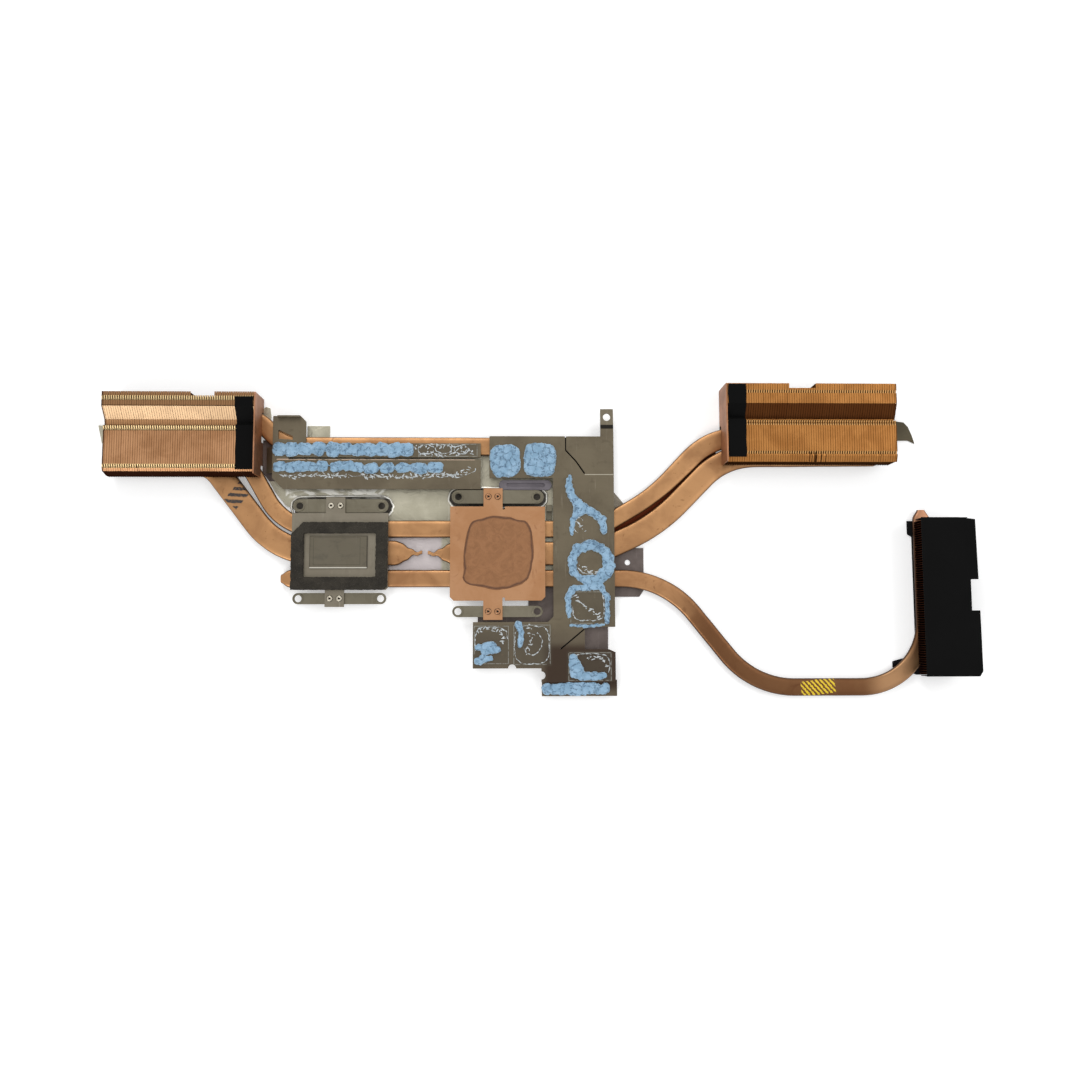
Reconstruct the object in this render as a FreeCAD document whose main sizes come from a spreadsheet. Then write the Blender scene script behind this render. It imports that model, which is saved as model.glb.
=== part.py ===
import FreeCAD, Part
import Sketcher
import math
import os

# Laptop heatsink module, lying with its cold plates up. Millimetres, +Z up, the origin under the
# middle of the module on the surface that it lies on. +X runs along the module, +Y to its rear edge.

Vector = FreeCAD.Vector
document = FreeCAD.newDocument("heatsink")
sheet = document.addObject("Spreadsheet::Sheet", "Sizes")


class Size:
    """A length that carries its value and the sheet expression it comes from."""

    def __init__(self, value, text):
        self.value = float(value)
        self.text = text

    def join(self, other, sign, value, flip=False):
        other_text = other.text if isinstance(other, Size) else repr(other)
        pair = (other_text, self.text) if flip else (self.text, other_text)
        return Size(value, "(%s %s %s)" % (pair[0], sign, pair[1]))

    def __add__(self, other):
        return self.join(other, "+", self.value + number(other))

    def __radd__(self, other):
        return self.join(other, "+", number(other) + self.value, True)

    def __sub__(self, other):
        return self.join(other, "-", self.value - number(other))

    def __rsub__(self, other):
        return self.join(other, "-", number(other) - self.value, True)

    def __mul__(self, other):
        return self.join(other, "*", self.value * number(other))

    def __rmul__(self, other):
        return self.join(other, "*", number(other) * self.value, True)

    def __truediv__(self, other):
        return self.join(other, "/", self.value / number(other))

    def __neg__(self):
        return Size(-self.value, "(0 - %s)" % self.text)


def number(size):
    return size.value if isinstance(size, Size) else float(size)


rows = []


def length(alias, value, note):
    """One driving size: a row of the sheet with its name, value and meaning."""
    rows.append(alias)
    row = len(rows)
    sheet.set("A%d" % row, note)
    sheet.set("B%d" % row, str(value))
    sheet.setAlias("B%d" % row, alias)
    return Size(value, "Sizes." + alias)


def bind(thing, path, size):
    """Sets a property or a constraint to a size, through the sheet where it has a name there."""
    if isinstance(size, Size):
        thing.setExpression(path, size.text)
    elif not path.startswith("Constraints."):
        setattr(thing, path, size)


# Layers, from the surface up
sheet_thick = length("sheet_thick", 0.5, "thickness of the rear sheets")
pipe_thick = length("pipe_thick", 3.0, "thickness of the flattened heat pipes")
pipe_bevel = length("pipe_bevel", 0.85, "rounding of a flattened pipe's long edges, as one bevel")
cold_thick = length("cold_thick", 1.5, "thickness of the cold plates")
plate_thick = length("plate_thick", 0.8, "thickness of the pressed plates")
arm_thick = length("arm_thick", 0.8, "thickness of the spring arms")
tab_thick = length("tab_thick", 0.8, "thickness of a cold plate's riveted tabs")
solder_gap = length("solder_gap", 0.05, "solder line between a fin and the pipe under it")

pipe_mid = sheet_thick + pipe_thick / 2
pipe_top = sheet_thick + pipe_thick
cold_top = pipe_top + cold_thick
arm_top = cold_top - tab_thick
arm_bottom = arm_top - arm_thick

parts = []


def new_body(label, x=0.0, y=0.0, z=0.0):
    """A body placed at its own datum; its sketches are drawn from there."""
    body = document.addObject("PartDesign::Body", label)
    body.Label = label
    body.AllowCompound = True
    for axis, place in (("x", x), ("y", y), ("z", z)):
        if isinstance(place, Size):
            body.setExpression("Placement.Base." + axis, place.text)
        elif place:
            setattr(body.Placement.Base, axis, float(place))
    parts.append(body)
    return body


def origin_feature(body, role):
    return [item for item in body.Origin.OriginFeatures if item.Role == role][0]


def new_sketch(body, name, plane="XY_Plane", offset=0.0):
    """A sketch on one of the body's own origin planes, offset along that plane's normal."""
    sketch = body.newObject("Sketcher::SketchObject", body.Label + "_" + name)
    sketch.AttachmentSupport = [(origin_feature(body, plane), "")]
    sketch.MapMode = "FlatFace"
    if isinstance(offset, Size):
        sketch.setExpression("AttachmentOffset.Base.z", offset.text)
    elif offset:
        sketch.AttachmentOffset = FreeCAD.Placement(Vector(0, 0, offset), FreeCAD.Rotation())
    return sketch


def hold(sketch, kind, places, size, name):
    """A named dimension of the sketch, bound to the sheet."""
    index = sketch.addConstraint(Sketcher.Constraint(kind, *places, number(size)))
    sketch.renameConstraint(index, name)
    bind(sketch, "Constraints." + name, size)


def outline(sketch, points):
    """A closed outline of straight edges; each corner is dimensioned from the datum."""
    first = sketch.GeometryCount
    count = len(points)
    corners = [Vector(number(x), number(y), 0) for x, y in points]
    for i in range(count):
        sketch.addGeometry(Part.LineSegment(corners[i], corners[(i + 1) % count]), False)
    for i in range(count):
        following = first + (i + 1) % count
        sketch.addConstraint(Sketcher.Constraint("Coincident", first + i, 2, following, 1))
    for i, (x, y) in enumerate(points):
        hold(sketch, "DistanceX", (-1, 1, first + i, 1), x, "x%d" % (first + i))
        hold(sketch, "DistanceY", (-1, 1, first + i, 1), y, "y%d" % (first + i))


def circle(sketch, x, y, radius):
    index = sketch.addGeometry(
        Part.Circle(Vector(number(x), number(y), 0), Vector(0, 0, 1), number(radius)), False
    )
    hold(sketch, "DistanceX", (-1, 1, index, 3), x, "x%d" % index)
    hold(sketch, "DistanceY", (-1, 1, index, 3), y, "y%d" % index)
    hold(sketch, "Radius", (index,), radius, "r%d" % index)


def rectangle(sketch, x0, y0, x1, y1):
    outline(sketch, [(x0, y0), (x1, y0), (x1, y1), (x0, y1)])


def stadium(sketch, x0, x1, y, radius):
    """A slot outline along X with round ends about (x0, y) and (x1, y)."""
    a, b, middle, r = number(x0), number(x1), number(y), number(radius)
    lower = sketch.addGeometry(Part.LineSegment(Vector(a, middle - r, 0), Vector(b, middle - r, 0)))
    upper = sketch.addGeometry(Part.LineSegment(Vector(b, middle + r, 0), Vector(a, middle + r, 0)))
    turn = math.pi / 2
    up = Vector(0, 0, 1)
    right = sketch.addGeometry(
        Part.ArcOfCircle(Part.Circle(Vector(b, middle, 0), up, r), -turn, turn)
    )
    left = sketch.addGeometry(
        Part.ArcOfCircle(Part.Circle(Vector(a, middle, 0), up, r), turn, 3 * turn)
    )
    for one, one_end, other, other_end in (
        (lower, 2, right, 1),
        (right, 2, upper, 1),
        (upper, 2, left, 1),
        (left, 2, lower, 1),
    ):
        sketch.addConstraint(Sketcher.Constraint("Tangent", one, one_end, other, other_end))
    hold(sketch, "DistanceX", (-1, 1, left, 3), x0, "x%d" % left)
    hold(sketch, "DistanceX", (-1, 1, right, 3), x1, "x%d" % right)
    hold(sketch, "DistanceY", (-1, 1, left, 3), y, "y%d" % left)
    hold(sketch, "DistanceY", (-1, 1, right, 3), y, "y%d" % right)
    hold(sketch, "Radius", (left,), radius, "r%d" % left)


def pad(body, sketch, thick):
    feature = body.newObject("PartDesign::Pad", sketch.Label + "_pad")
    feature.Profile = sketch
    bind(feature, "Length", thick)
    body.Tip = feature
    return feature


def pocket(body, sketch, depth=None, upward=False):
    """A cut from the sketch plane down into the body, or up where upward is set."""
    feature = body.newObject("PartDesign::Pocket", sketch.Label + "_pocket")
    feature.Profile = sketch
    if depth is None:
        feature.Type = 1
        feature.Midplane = True
    else:
        bind(feature, "Length", depth)
        feature.Reversed = upward
    body.Tip = feature
    return feature


# Flattened heat pipes

def route(sketch, points, radii):
    """The pipe's centre line: straight runs between the corners, joined by tangent arcs."""
    corners = [Vector(number(x), number(y), 0) for x, y in points]
    lines, arcs, turns = [], [], []
    start = corners[0]
    for i in range(1, len(corners) - 1):
        back = (corners[i - 1] - corners[i]).normalize()
        ahead = (corners[i + 1] - corners[i]).normalize()
        angle = back.getAngle(ahead)
        radius = number(radii[i - 1])
        reach = radius / math.tan(angle / 2)
        leave, join = corners[i] + back * reach, corners[i] + ahead * reach
        inward = (back + ahead).normalize()
        middle = corners[i] + inward * (radius / math.sin(angle / 2) - radius)
        lines.append(sketch.addGeometry(Part.LineSegment(start, leave), False))
        arcs.append(sketch.addGeometry(Part.Arc(leave, middle, join), False))
        turns.append(ahead.cross(back).z < 0)
        start = join
    lines.append(sketch.addGeometry(Part.LineSegment(start, corners[-1]), False))
    for i, arc in enumerate(arcs):
        begin, end = (2, 1) if turns[i] else (1, 2)
        sketch.addConstraint(Sketcher.Constraint("Tangent", lines[i], 2, arc, begin))
        sketch.addConstraint(Sketcher.Constraint("Tangent", lines[i + 1], 1, arc, end))
        hold(sketch, "Radius", (arc,), radii[i], "r%d" % i)
        corner = sketch.addGeometry(Part.Point(corners[i + 1]), True)
        sketch.addConstraint(Sketcher.Constraint("PointOnObject", corner, 1, lines[i]))
        sketch.addConstraint(Sketcher.Constraint("PointOnObject", corner, 1, lines[i + 1]))
        hold(sketch, "DistanceX", (-1, 1, corner, 1), points[i + 1][0], "x%d" % (i + 1))
        hold(sketch, "DistanceY", (-1, 1, corner, 1), points[i + 1][1], "y%d" % (i + 1))
    last = len(points) - 1
    hold(sketch, "DistanceX", (-1, 1, lines[0], 1), points[0][0], "x0")
    hold(sketch, "DistanceY", (-1, 1, lines[0], 1), points[0][1], "y0")
    hold(sketch, "DistanceX", (-1, 1, lines[-1], 2), points[last][0], "x%d" % last)
    hold(sketch, "DistanceY", (-1, 1, lines[-1], 2), points[last][1], "y%d" % last)


def pipe_section(sketch, across, wide, thick, bevel):
    """A pipe pressed flat: its width lies in the sheet's plane and its long edges are eased."""
    w, t = wide / 2, thick / 2
    outline(
        sketch,
        [
            (across - w + bevel, pipe_mid - t),
            (across + w - bevel, pipe_mid - t),
            (across + w, pipe_mid - t + bevel),
            (across + w, pipe_mid + t - bevel),
            (across + w - bevel, pipe_mid + t),
            (across - w + bevel, pipe_mid + t),
            (across - w, pipe_mid + t - bevel),
            (across - w, pipe_mid - t + bevel),
        ],
    )


def heat_pipe(label, wide, points, radii):
    """A flattened pipe that starts along +X and follows its route at the pipes' level."""
    body = new_body(label)
    path = new_sketch(body, "route", "XY_Plane", pipe_mid)
    route(path, points, radii)
    section = new_sketch(body, "section", "YZ_Plane", points[0][0])
    pipe_section(section, points[0][1], wide, pipe_thick, pipe_bevel)
    sweep = body.newObject("PartDesign::AdditivePipe", label + "_sweep")
    sweep.Profile = section
    sweep.Spine = path
    body.Tip = sweep
    return body


def pinched_tip(body, plane, across, stations):
    """The end that was crimped shut: sections that narrow and thin towards the seal."""
    sketches = []
    for i, (along, wide, thick) in enumerate(stations):
        sketch = new_sketch(body, "tip_%s_%d" % (plane[:2], len(body.Group) + i), plane, along)
        pipe_section(sketch, across, wide, thick, pipe_bevel * (number(thick) / pipe_thick.value))
        sketches.append(sketch)
    loft = body.newObject("PartDesign::AdditiveLoft", body.Label + "_tip%d" % len(body.Group))
    loft.Profile = sketches[0]
    loft.Sections = sketches[1:]
    loft.Ruled = True
    body.Tip = loft


wide_pipe = length("wide_pipe", 11.0, "width of the left main pipe")
bridge_wide = length("bridge_wide", 7.6, "width of the shared pipe across both cold plates")
right_wide = length("right_wide", 10.4, "width of the right main pipe")
side_wide = length("side_wide", 7.6, "width of the pipe to the side stack")
vrm_wide = length("vrm_wide", 8.2, "width of the pipe along the transistor plate")

bridge_lane = length("bridge_lane", 5.0, "Y of the shared pipe across the cold plates")
left_lane = length("left_lane", -5.4, "Y of the left main pipe under the first cold plate")
right_lane = length("right_lane", -5.6, "Y of the right main pipe under the second cold plate")
side_lane = length("side_lane", -16.4, "Y of the side pipe across the cold plates")
vrm_lane = length("vrm_lane", 41.1, "Y of the transistor pipe")

left_row_front = length("left_row_front", 33.8, "Y of the front pipe row under the left stack")
left_row_middle = length("left_row_middle", 44.0, "Y of the middle pipe row under the left stack")
left_row_rear = length("left_row_rear", 54.0, "Y of the rear pipe row under the left stack")
right_row_front = length("right_row_front", 36.8, "Y of the front pipe row, right stack")
right_row_rear = length("right_row_rear", 46.2, "Y of the rear pipe row, right stack")
side_row = length("side_row", 169.3, "X of the pipe row under the side stack")

left_pipe_end = length("left_pipe_end", -178.7, "X of the pipe ends under the left stack")
right_pipe_end = length("right_pipe_end", 151.5, "X of the pipe ends under the right stack")
tip_long = length("tip_long", 8.6, "length of a crimped pipe tip")
tip_seal = length("tip_seal", 3.0, "length of the seal past a crimped tip")
seal_wide = length("seal_wide", 1.5, "width and thickness of the seal")
left_tip = length("left_tip", -59.8, "X where the left main pipe starts to narrow")
right_tip = length("right_tip", -34.6, "X where the right main pipe starts to narrow")

left_bend_x = length("left_bend_x", -139.7, "X of the left main pipe's bend at the stack")
left_plate_bend_x = length("left_plate_bend_x", -109.7, "X of its bend at the cold plate")
left_main_pipe = heat_pipe(
    "left_main_pipe",
    wide_pipe,
    [
        (left_pipe_end, left_row_front),
        (left_bend_x, left_row_front),
        (left_plate_bend_x, left_lane),
        (left_tip, left_lane),
    ],
    [length("left_bend", 14.0, "bend at the stack"), length("left_plate_bend", 25.0, "at the plate")],
)
pinched_tip(
    left_main_pipe,
    "YZ_Plane",
    left_lane,
    [
        (left_tip, wide_pipe, pipe_thick),
        (left_tip + tip_long * 0.6, wide_pipe * 0.68, pipe_thick * 0.9),
        (left_tip + tip_long, seal_wide, seal_wide),
        (left_tip + tip_long + tip_seal, seal_wide, seal_wide * 0.9),
    ],
)

shared_bend_x = length("shared_bend_x", -130.0, "X of the shared pipe's bend at the left stack")
shared_plate_x = length("shared_plate_x", -107.5, "X of its bend at the first cold plate")
shared_rise_x = length("shared_rise_x", 27.0, "X where it leaves the second cold plate")
shared_knee_x = length("shared_knee_x", 52.1, "X of its middle knee")
shared_knee_y = length("shared_knee_y", 20.1, "Y of its middle knee")
shared_stack_x = length("shared_stack_x", 77.2, "X of its bend at the right stack")
shared_pipe = heat_pipe(
    "shared_pipe",
    bridge_wide,
    [
        (left_pipe_end, left_row_middle),
        (shared_bend_x, left_row_middle),
        (shared_plate_x, bridge_lane),
        (shared_rise_x, bridge_lane),
        (shared_knee_x, shared_knee_y),
        (shared_stack_x, right_row_rear),
        (right_pipe_end, right_row_rear),
    ],
    [
        length("shared_bend", 12.0, "bend at the left stack"),
        length("shared_plate_bend", 25.0, "bend at the first cold plate"),
        length("shared_rise_bend", 25.0, "bend past the second cold plate"),
        length("shared_knee_bend", 40.0, "bend at the middle knee"),
        length("shared_stack_bend", 20.0, "bend at the right stack"),
    ],
)

main_rise_x = length("main_rise_x", 26.1, "X where the right main pipe leaves its cold plate")
main_knee_x = length("main_knee_x", 52.5, "X of its middle knee")
main_knee_y = length("main_knee_y", 7.0, "Y of its middle knee")
main_stack_x = length("main_stack_x", 83.3, "X of its bend at the right stack")
right_main_pipe = heat_pipe(
    "right_main_pipe",
    right_wide,
    [
        (right_tip, right_lane),
        (main_rise_x, right_lane),
        (main_knee_x, main_knee_y),
        (main_stack_x, right_row_front),
        (right_pipe_end, right_row_front),
    ],
    [
        length("main_rise_bend", 35.0, "bend past the cold plate"),
        length("main_knee_bend", 45.0, "bend at the middle knee"),
        length("main_stack_bend", 25.0, "bend at the right stack"),
    ],
)
pinched_tip(
    right_main_pipe,
    "YZ_Plane",
    right_lane,
    [
        (right_tip, right_wide, pipe_thick),
        (right_tip - tip_long * 0.6, right_wide * 0.68, pipe_thick * 0.9),
        (right_tip - tip_long, seal_wide, seal_wide),
        (right_tip - tip_long - tip_seal, seal_wide, seal_wide * 0.9),
    ],
)

side_start = length("side_start", -104.0, "X where the side pipe's near tip begins")
side_drop_x = length("side_drop_x", 56.5, "X of the side pipe's first bend")
side_low_x = length("side_low_x", 94.0, "X of its second bend")
side_low_y = length("side_low_y", -63.2, "Y of its front run")
side_end_y = length("side_end_y", 8.8, "Y where the side pipe's far tip begins")
side_tip = length("side_tip", 4.6, "length of the side pipe's tips")
side_pipe = heat_pipe(
    "side_pipe",
    side_wide,
    [
        (side_start, side_lane),
        (side_drop_x, side_lane),
        (side_low_x, side_low_y),
        (side_row, side_low_y),
        (side_row, side_end_y),
    ],
    [
        length("side_drop_bend", 40.0, "bend past the cold plates"),
        length("side_low_bend", 37.0, "bend into the front run"),
        length("side_turn_bend", 28.5, "bend up under the side stack"),
    ],
)
pinched_tip(
    side_pipe,
    "YZ_Plane",
    side_lane,
    [
        (side_start, side_wide, pipe_thick),
        (side_start - side_tip * 0.6, side_wide * 0.8, pipe_thick * 0.95),
        (side_start - side_tip, side_wide * 0.45, pipe_thick * 0.8),
    ],
)
pinched_tip(
    side_pipe,
    "XZ_Plane",
    side_row,
    [
        (-side_end_y, side_wide, pipe_thick),
        (-side_end_y - side_tip * 0.6, side_wide * 0.8, pipe_thick * 0.95),
        (-side_end_y - side_tip, side_wide * 0.45, pipe_thick * 0.8),
    ],
)

vrm_stack_x = length("vrm_stack_x", -121.2, "X of the transistor pipe's bend in the stack")
vrm_plate_x = length("vrm_plate_x", -108.3, "X of its bend at the transistor plate")
vrm_end_x = length("vrm_end_x", 2.0, "X of its end under the memory plate")
vrm_pipe = heat_pipe(
    "vrm_pipe",
    vrm_wide,
    [
        (left_pipe_end, left_row_rear),
        (vrm_stack_x, left_row_rear),
        (vrm_plate_x, vrm_lane),
        (vrm_end_x, vrm_lane),
    ],
    [length("vrm_bend", 18.0, "both bends"), Size(18.0, "Sizes.vrm_bend")],
)


# Fin stacks: thin folded sheets, each with a web and a top fold that reaches the next fin

fin_thick = length("fin_thick", 0.25, "thickness of a fin")
fin_gap = length("fin_gap", 0.12, "gap between a fin's fold and the next fin")
fin_foot = pipe_top + solder_gap


def fin_stack(label, plane, start, tops, front, leg, pitch, groups, along):
    """Folded fins side by side, in groups. tops runs over the fin from its rear to its front edge.

    Each group gives its first fin, its count of fins and how far its rear edge is cut back."""
    body = new_body(label)
    foot = [(front, fin_foot), (leg, fin_foot), (leg, sheet_thick)]
    for first, count, cut_back in groups:
        place = start + first * pitch
        rear = tops[0][0] - cut_back
        top = [(rear, tops[0][1])] + tops[1:]
        web = new_sketch(body, "web_%d" % len(body.Group), plane, place)
        outline(web, top + foot + [(rear, sheet_thick)])
        webs = pad(body, web, fin_thick)
        fold = new_sketch(body, "fold_%d" % len(body.Group), plane, place)
        outline(fold, top + [(y, z - fin_thick) for y, z in reversed(top)])
        folds = pad(body, fold, pitch - fin_gap)
        pattern = body.newObject("PartDesign::LinearPattern", "%s_row_%d" % (label, len(body.Group)))
        pattern.Originals = [webs, folds]
        pattern.Direction = (origin_feature(body, along), [""])
        pattern.Reversed = along == "Y_Axis"
        pattern.setExpression("Length", ((count - 1) * pitch).text)
        pattern.setExpression("Occurrences", count.text)
        body.Tip = pattern
    return body


stack_high = length("stack_high", 15.4, "height of the rear ridge of both stacks")
left_start = length("left_start", -182.2, "X of the left stack's outer end")
left_count = length("left_count", 65, "fins in the left stack")
left_pitch = length("left_pitch", 0.98, "fin pitch of the left stack")
left_rear = length("left_rear", 62.0, "Y of the left stack's rear edge")
left_ridge = length("left_ridge", 55.8, "Y where its rear ridge ends")
left_valley = length("left_valley", 48.4, "Y of its valley")
left_valley_high = length("left_valley_high", 10.4, "height of its valley")
left_flat = length("left_flat", 46.6, "Y where its main flat starts")
left_flat_high = length("left_flat_high", 12.6, "height of its main flat")
left_lip = length("left_lip", 29.8, "Y where its front lip starts")
left_front = length("left_front", 27.2, "Y of its front face")
left_lip_high = length("left_lip_high", 11.6, "height of its front lip")
row_gap = length("row_gap", 0.4, "gap between a pipe row and a fin's rear leg")

left_tops = [
    (left_rear, stack_high),
    (left_ridge, stack_high),
    (left_valley, left_valley_high),
    (left_flat, left_flat_high),
    (left_lip, left_flat_high),
    (left_front, left_lip_high),
]
left_leg = left_row_rear + vrm_wide / 2 + row_gap
notch_left_first = length("notch_left_first", 38, "fins outside the left stack's rear notch")
notch_left_fins = length("notch_left_fins", 10, "fins in the left stack's rear notch")
notch_left_deep = length("notch_left_deep", 1.7, "depth of the left stack's rear notch")
none = Size(0.0, "0")
left_fins = fin_stack(
    "left_fins",
    "YZ_Plane",
    left_start,
    left_tops,
    left_front,
    left_leg,
    left_pitch,
    [
        (none, notch_left_first, none),
        (notch_left_first, notch_left_fins, notch_left_deep),
        (
            notch_left_first + notch_left_fins,
            left_count - notch_left_first - notch_left_fins,
            none,
        ),
    ],
    "X_Axis",
)

right_start = length("right_start", 82.4, "X of the right stack's first fin")
right_count = length("right_count", 71, "fins in the right stack")
right_pitch = length("right_pitch", 1.03, "fin pitch of the right stack")
right_rear = length("right_rear", 66.6, "Y of the right stack's rear edge")
right_ridge = length("right_ridge", 57.9, "Y where its rear ridge ends")
right_valley = length("right_valley", 51.0, "Y of its valley")
right_valley_high = length("right_valley_high", 12.0, "height of its valley")
right_flat = length("right_flat", 49.2, "Y where its main flat starts")
right_flat_high = length("right_flat_high", 14.2, "height of its main flat")
right_lip = length("right_lip", 35.4, "Y where its front lip starts")
right_front = length("right_front", 32.9, "Y of its front face")
right_lip_high = length("right_lip_high", 13.2, "height of its front lip")
right_tops = [
    (right_rear, stack_high),
    (right_ridge, stack_high),
    (right_valley, right_valley_high),
    (right_flat, right_flat_high),
    (right_lip, right_flat_high),
    (right_front, right_lip_high),
]
right_leg = right_row_rear + bridge_wide / 2 + row_gap
notch_right_first = length("notch_right_first", 26, "fins inside the right stack's rear notch")
notch_right_fins = length("notch_right_fins", 11, "fins in the right stack's rear notch")
notch_right_deep = length("notch_right_deep", 2.0, "depth of the right stack's rear notch")
right_fins = fin_stack(
    "right_fins",
    "YZ_Plane",
    right_start,
    right_tops,
    right_front,
    right_leg,
    right_pitch,
    [
        (none, notch_right_first, none),
        (notch_right_first, notch_right_fins, notch_right_deep),
        (
            notch_right_first + notch_right_fins,
            right_count - notch_right_first - notch_right_fins,
            none,
        ),
    ],
    "X_Axis",
)

side_high = length("side_high", 12.8, "height of the side stack's fins")
side_fin_long = length("side_fin_long", 19.5, "length of the side stack's fins along X")
side_inner = side_row - side_wide / 2
side_outer = side_inner + side_fin_long
side_fin_rear = length("side_fin_rear", 8.0, "Y of its rear fin, where the count starts")
side_count = length("side_count", 66, "fins in the side stack")
side_pitch = length("side_pitch", 1.0, "its fin pitch")
side_tops = [(side_outer, side_high), (side_inner, side_high)]
side_leg = side_row + side_wide / 2 + row_gap
side_fins = fin_stack(
    "side_fins",
    "XZ_Plane",
    -side_fin_rear,
    side_tops,
    side_inner,
    side_leg,
    side_pitch,
    [(none, side_count, none)],
    "Y_Axis",
)


# Walls and tapes at the inner ends of the two rear stacks

wall_thick = length("wall_thick", 0.6, "thickness of a stack's end wall")
wall_gap = length("wall_gap", 0.1, "gap between a stack's last fin and its end wall")
tape_wide = length("tape_wide", 8.2, "width of the black tapes")
tape_thick = length("tape_thick", 0.3, "thickness of the black tapes")
tape_gap = length("tape_gap", 0.05, "glue line under the tapes")
mouse_gap = length("mouse_gap", 0.4, "clearance round a pipe in an end wall")


def end_wall(label, at, tops, front_open, openings):
    """A stack's end wall: the fins' outline, open under its front and over each pipe that passes."""
    body = new_body(label)
    face = new_sketch(body, "face", "YZ_Plane", at)
    rear, front = tops[0][0], tops[-1][0]
    lower = [(front, fin_foot), (front_open, fin_foot), (front_open, sheet_thick)]
    for y0, y1 in openings:
        lower += [(y0, sheet_thick), (y0, fin_foot), (y1, fin_foot), (y1, sheet_thick)]
    outline(face, tops + lower + [(rear, sheet_thick)])
    pad(body, face, wall_thick)
    return body


left_wall_x = left_start + (left_count - 1) * left_pitch + left_pitch - fin_gap + wall_gap
vrm_crossing = length("vrm_crossing", 49.2, "Y where the transistor pipe passes the left wall")
crossing_half = length("crossing_half", 6.6, "half the opening for a pipe that passes at a slant")
bridge_crossing = length("bridge_crossing", 5.4, "front opening over the shared pipe, left wall")
left_end_wall = end_wall(
    "left_end_wall",
    left_wall_x,
    [(left_rear, stack_high), (left_front, stack_high)],
    left_front + bridge_crossing,
    [(vrm_crossing - crossing_half, vrm_crossing + crossing_half)],
)
right_wall_x = right_start - wall_gap - wall_thick
right_end_wall = end_wall(
    "right_end_wall",
    right_wall_x,
    [(right_rear, stack_high), (right_front, stack_high)],
    right_row_rear + bridge_wide / 2 + mouse_gap,
    [],
)


def tape(label, at, tops):
    """A strip of tape that drapes over the fins' tops."""
    body = new_body(label)
    strip = new_sketch(body, "strip", "YZ_Plane", at)
    lift = tape_gap + tape_thick
    upper = [(y, z + lift) for y, z in tops]
    lower = [(y, z + tape_gap) for y, z in reversed(tops)]
    outline(strip, upper + lower)
    pad(body, strip, tape_wide)
    return body


tape_inset = length("tape_inset", 2.2, "distance from the rear edge to the tapes")
left_tape_tops = [(left_rear - tape_inset, stack_high)] + left_tops[1:5]
left_tape = tape("left_tape", left_wall_x - wall_gap - tape_wide, left_tape_tops)
right_tape_tops = [(right_rear - tape_inset * 0.4, stack_high)] + right_tops[1:5]
right_tape = tape("right_tape", right_start, right_tape_tops)


# Sheets under the module

def plate(label, thick, points, z, holes=()):
    """A flat pressed plate with round holes."""
    body = new_body(label, z=z)
    face = new_sketch(body, "outline")
    outline(face, points)
    for x, y, radius in holes:
        circle(face, x, y, radius)
    pad(body, face, thick)
    return body


left_ear_x = length("left_ear_x", -189.2, "X of the left ear's tip")
left_base_front = length("left_base_front", 42.5, "Y of the left strip's front edge")
left_base_rear = length("left_base_rear", 50.2, "Y of its rear edge")
ear_x = length("ear_x", -114.6, "X of the small rear ear")
ear_y = length("ear_y", 56.8, "Y of its end")
ear_wide = length("ear_wide", 4.4, "width of the small rear ear")
ear_curl = length("ear_curl", 2.0, "how far the ears curl out at their ends")
ear_long = length("ear_long", 4.0, "how far the left ear's root lies inside the stack")
left_base = plate(
    "left_base_strip",
    sheet_thick,
    [
        (left_start + ear_long, left_base_front),
        (ear_x - ear_wide, left_base_front),
        (ear_x - ear_wide, left_base_rear),
        (ear_x - ear_curl * 0.4, left_base_rear + ear_curl),
        (ear_x, left_base_rear + ear_curl * 2),
        (ear_x - ear_curl * 0.3, ear_y + ear_curl * 0.7),
        (ear_x - ear_curl * 1.2, ear_y + ear_curl),
        (ear_x - ear_curl * 2.4, ear_y),
        (ear_x - ear_curl - ear_wide, left_base_rear),
        (left_start - ear_long * 0.85, left_base_rear),
        (left_ear_x, left_base_rear + ear_curl * 0.1),
        (left_start - ear_long * 1.3, left_base_front),
        (left_start - ear_long * 0.25, left_base_front + ear_long * 0.75),
    ],
    0,
)

right_ear_x = length("right_ear_x", 168.4, "X of the right ear's tip")
right_base_front = length("right_base_front", 44.6, "Y of the right strip's front edge")
right_base_rear = length("right_base_rear", 53.2, "Y of its rear edge")
right_base = plate(
    "right_base_strip",
    sheet_thick,
    [
        (right_start - wall_thick, right_base_front),
        (right_ear_x - ear_curl * 1.5, right_base_front),
        (right_ear_x, right_base_front - ear_curl * 0.7),
        (right_ear_x - ear_curl * 0.6, right_base_front + ear_curl * 1.3),
        (right_ear_x - ear_curl * 1.35, right_base_rear - ear_curl * 1.2),
        (right_ear_x - ear_curl * 2.3, right_base_rear - ear_curl * 0.2),
        (right_ear_x - ear_curl * 3.8, right_base_rear),
        (right_start - wall_thick, right_base_rear),
    ],
    0,
)

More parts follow.
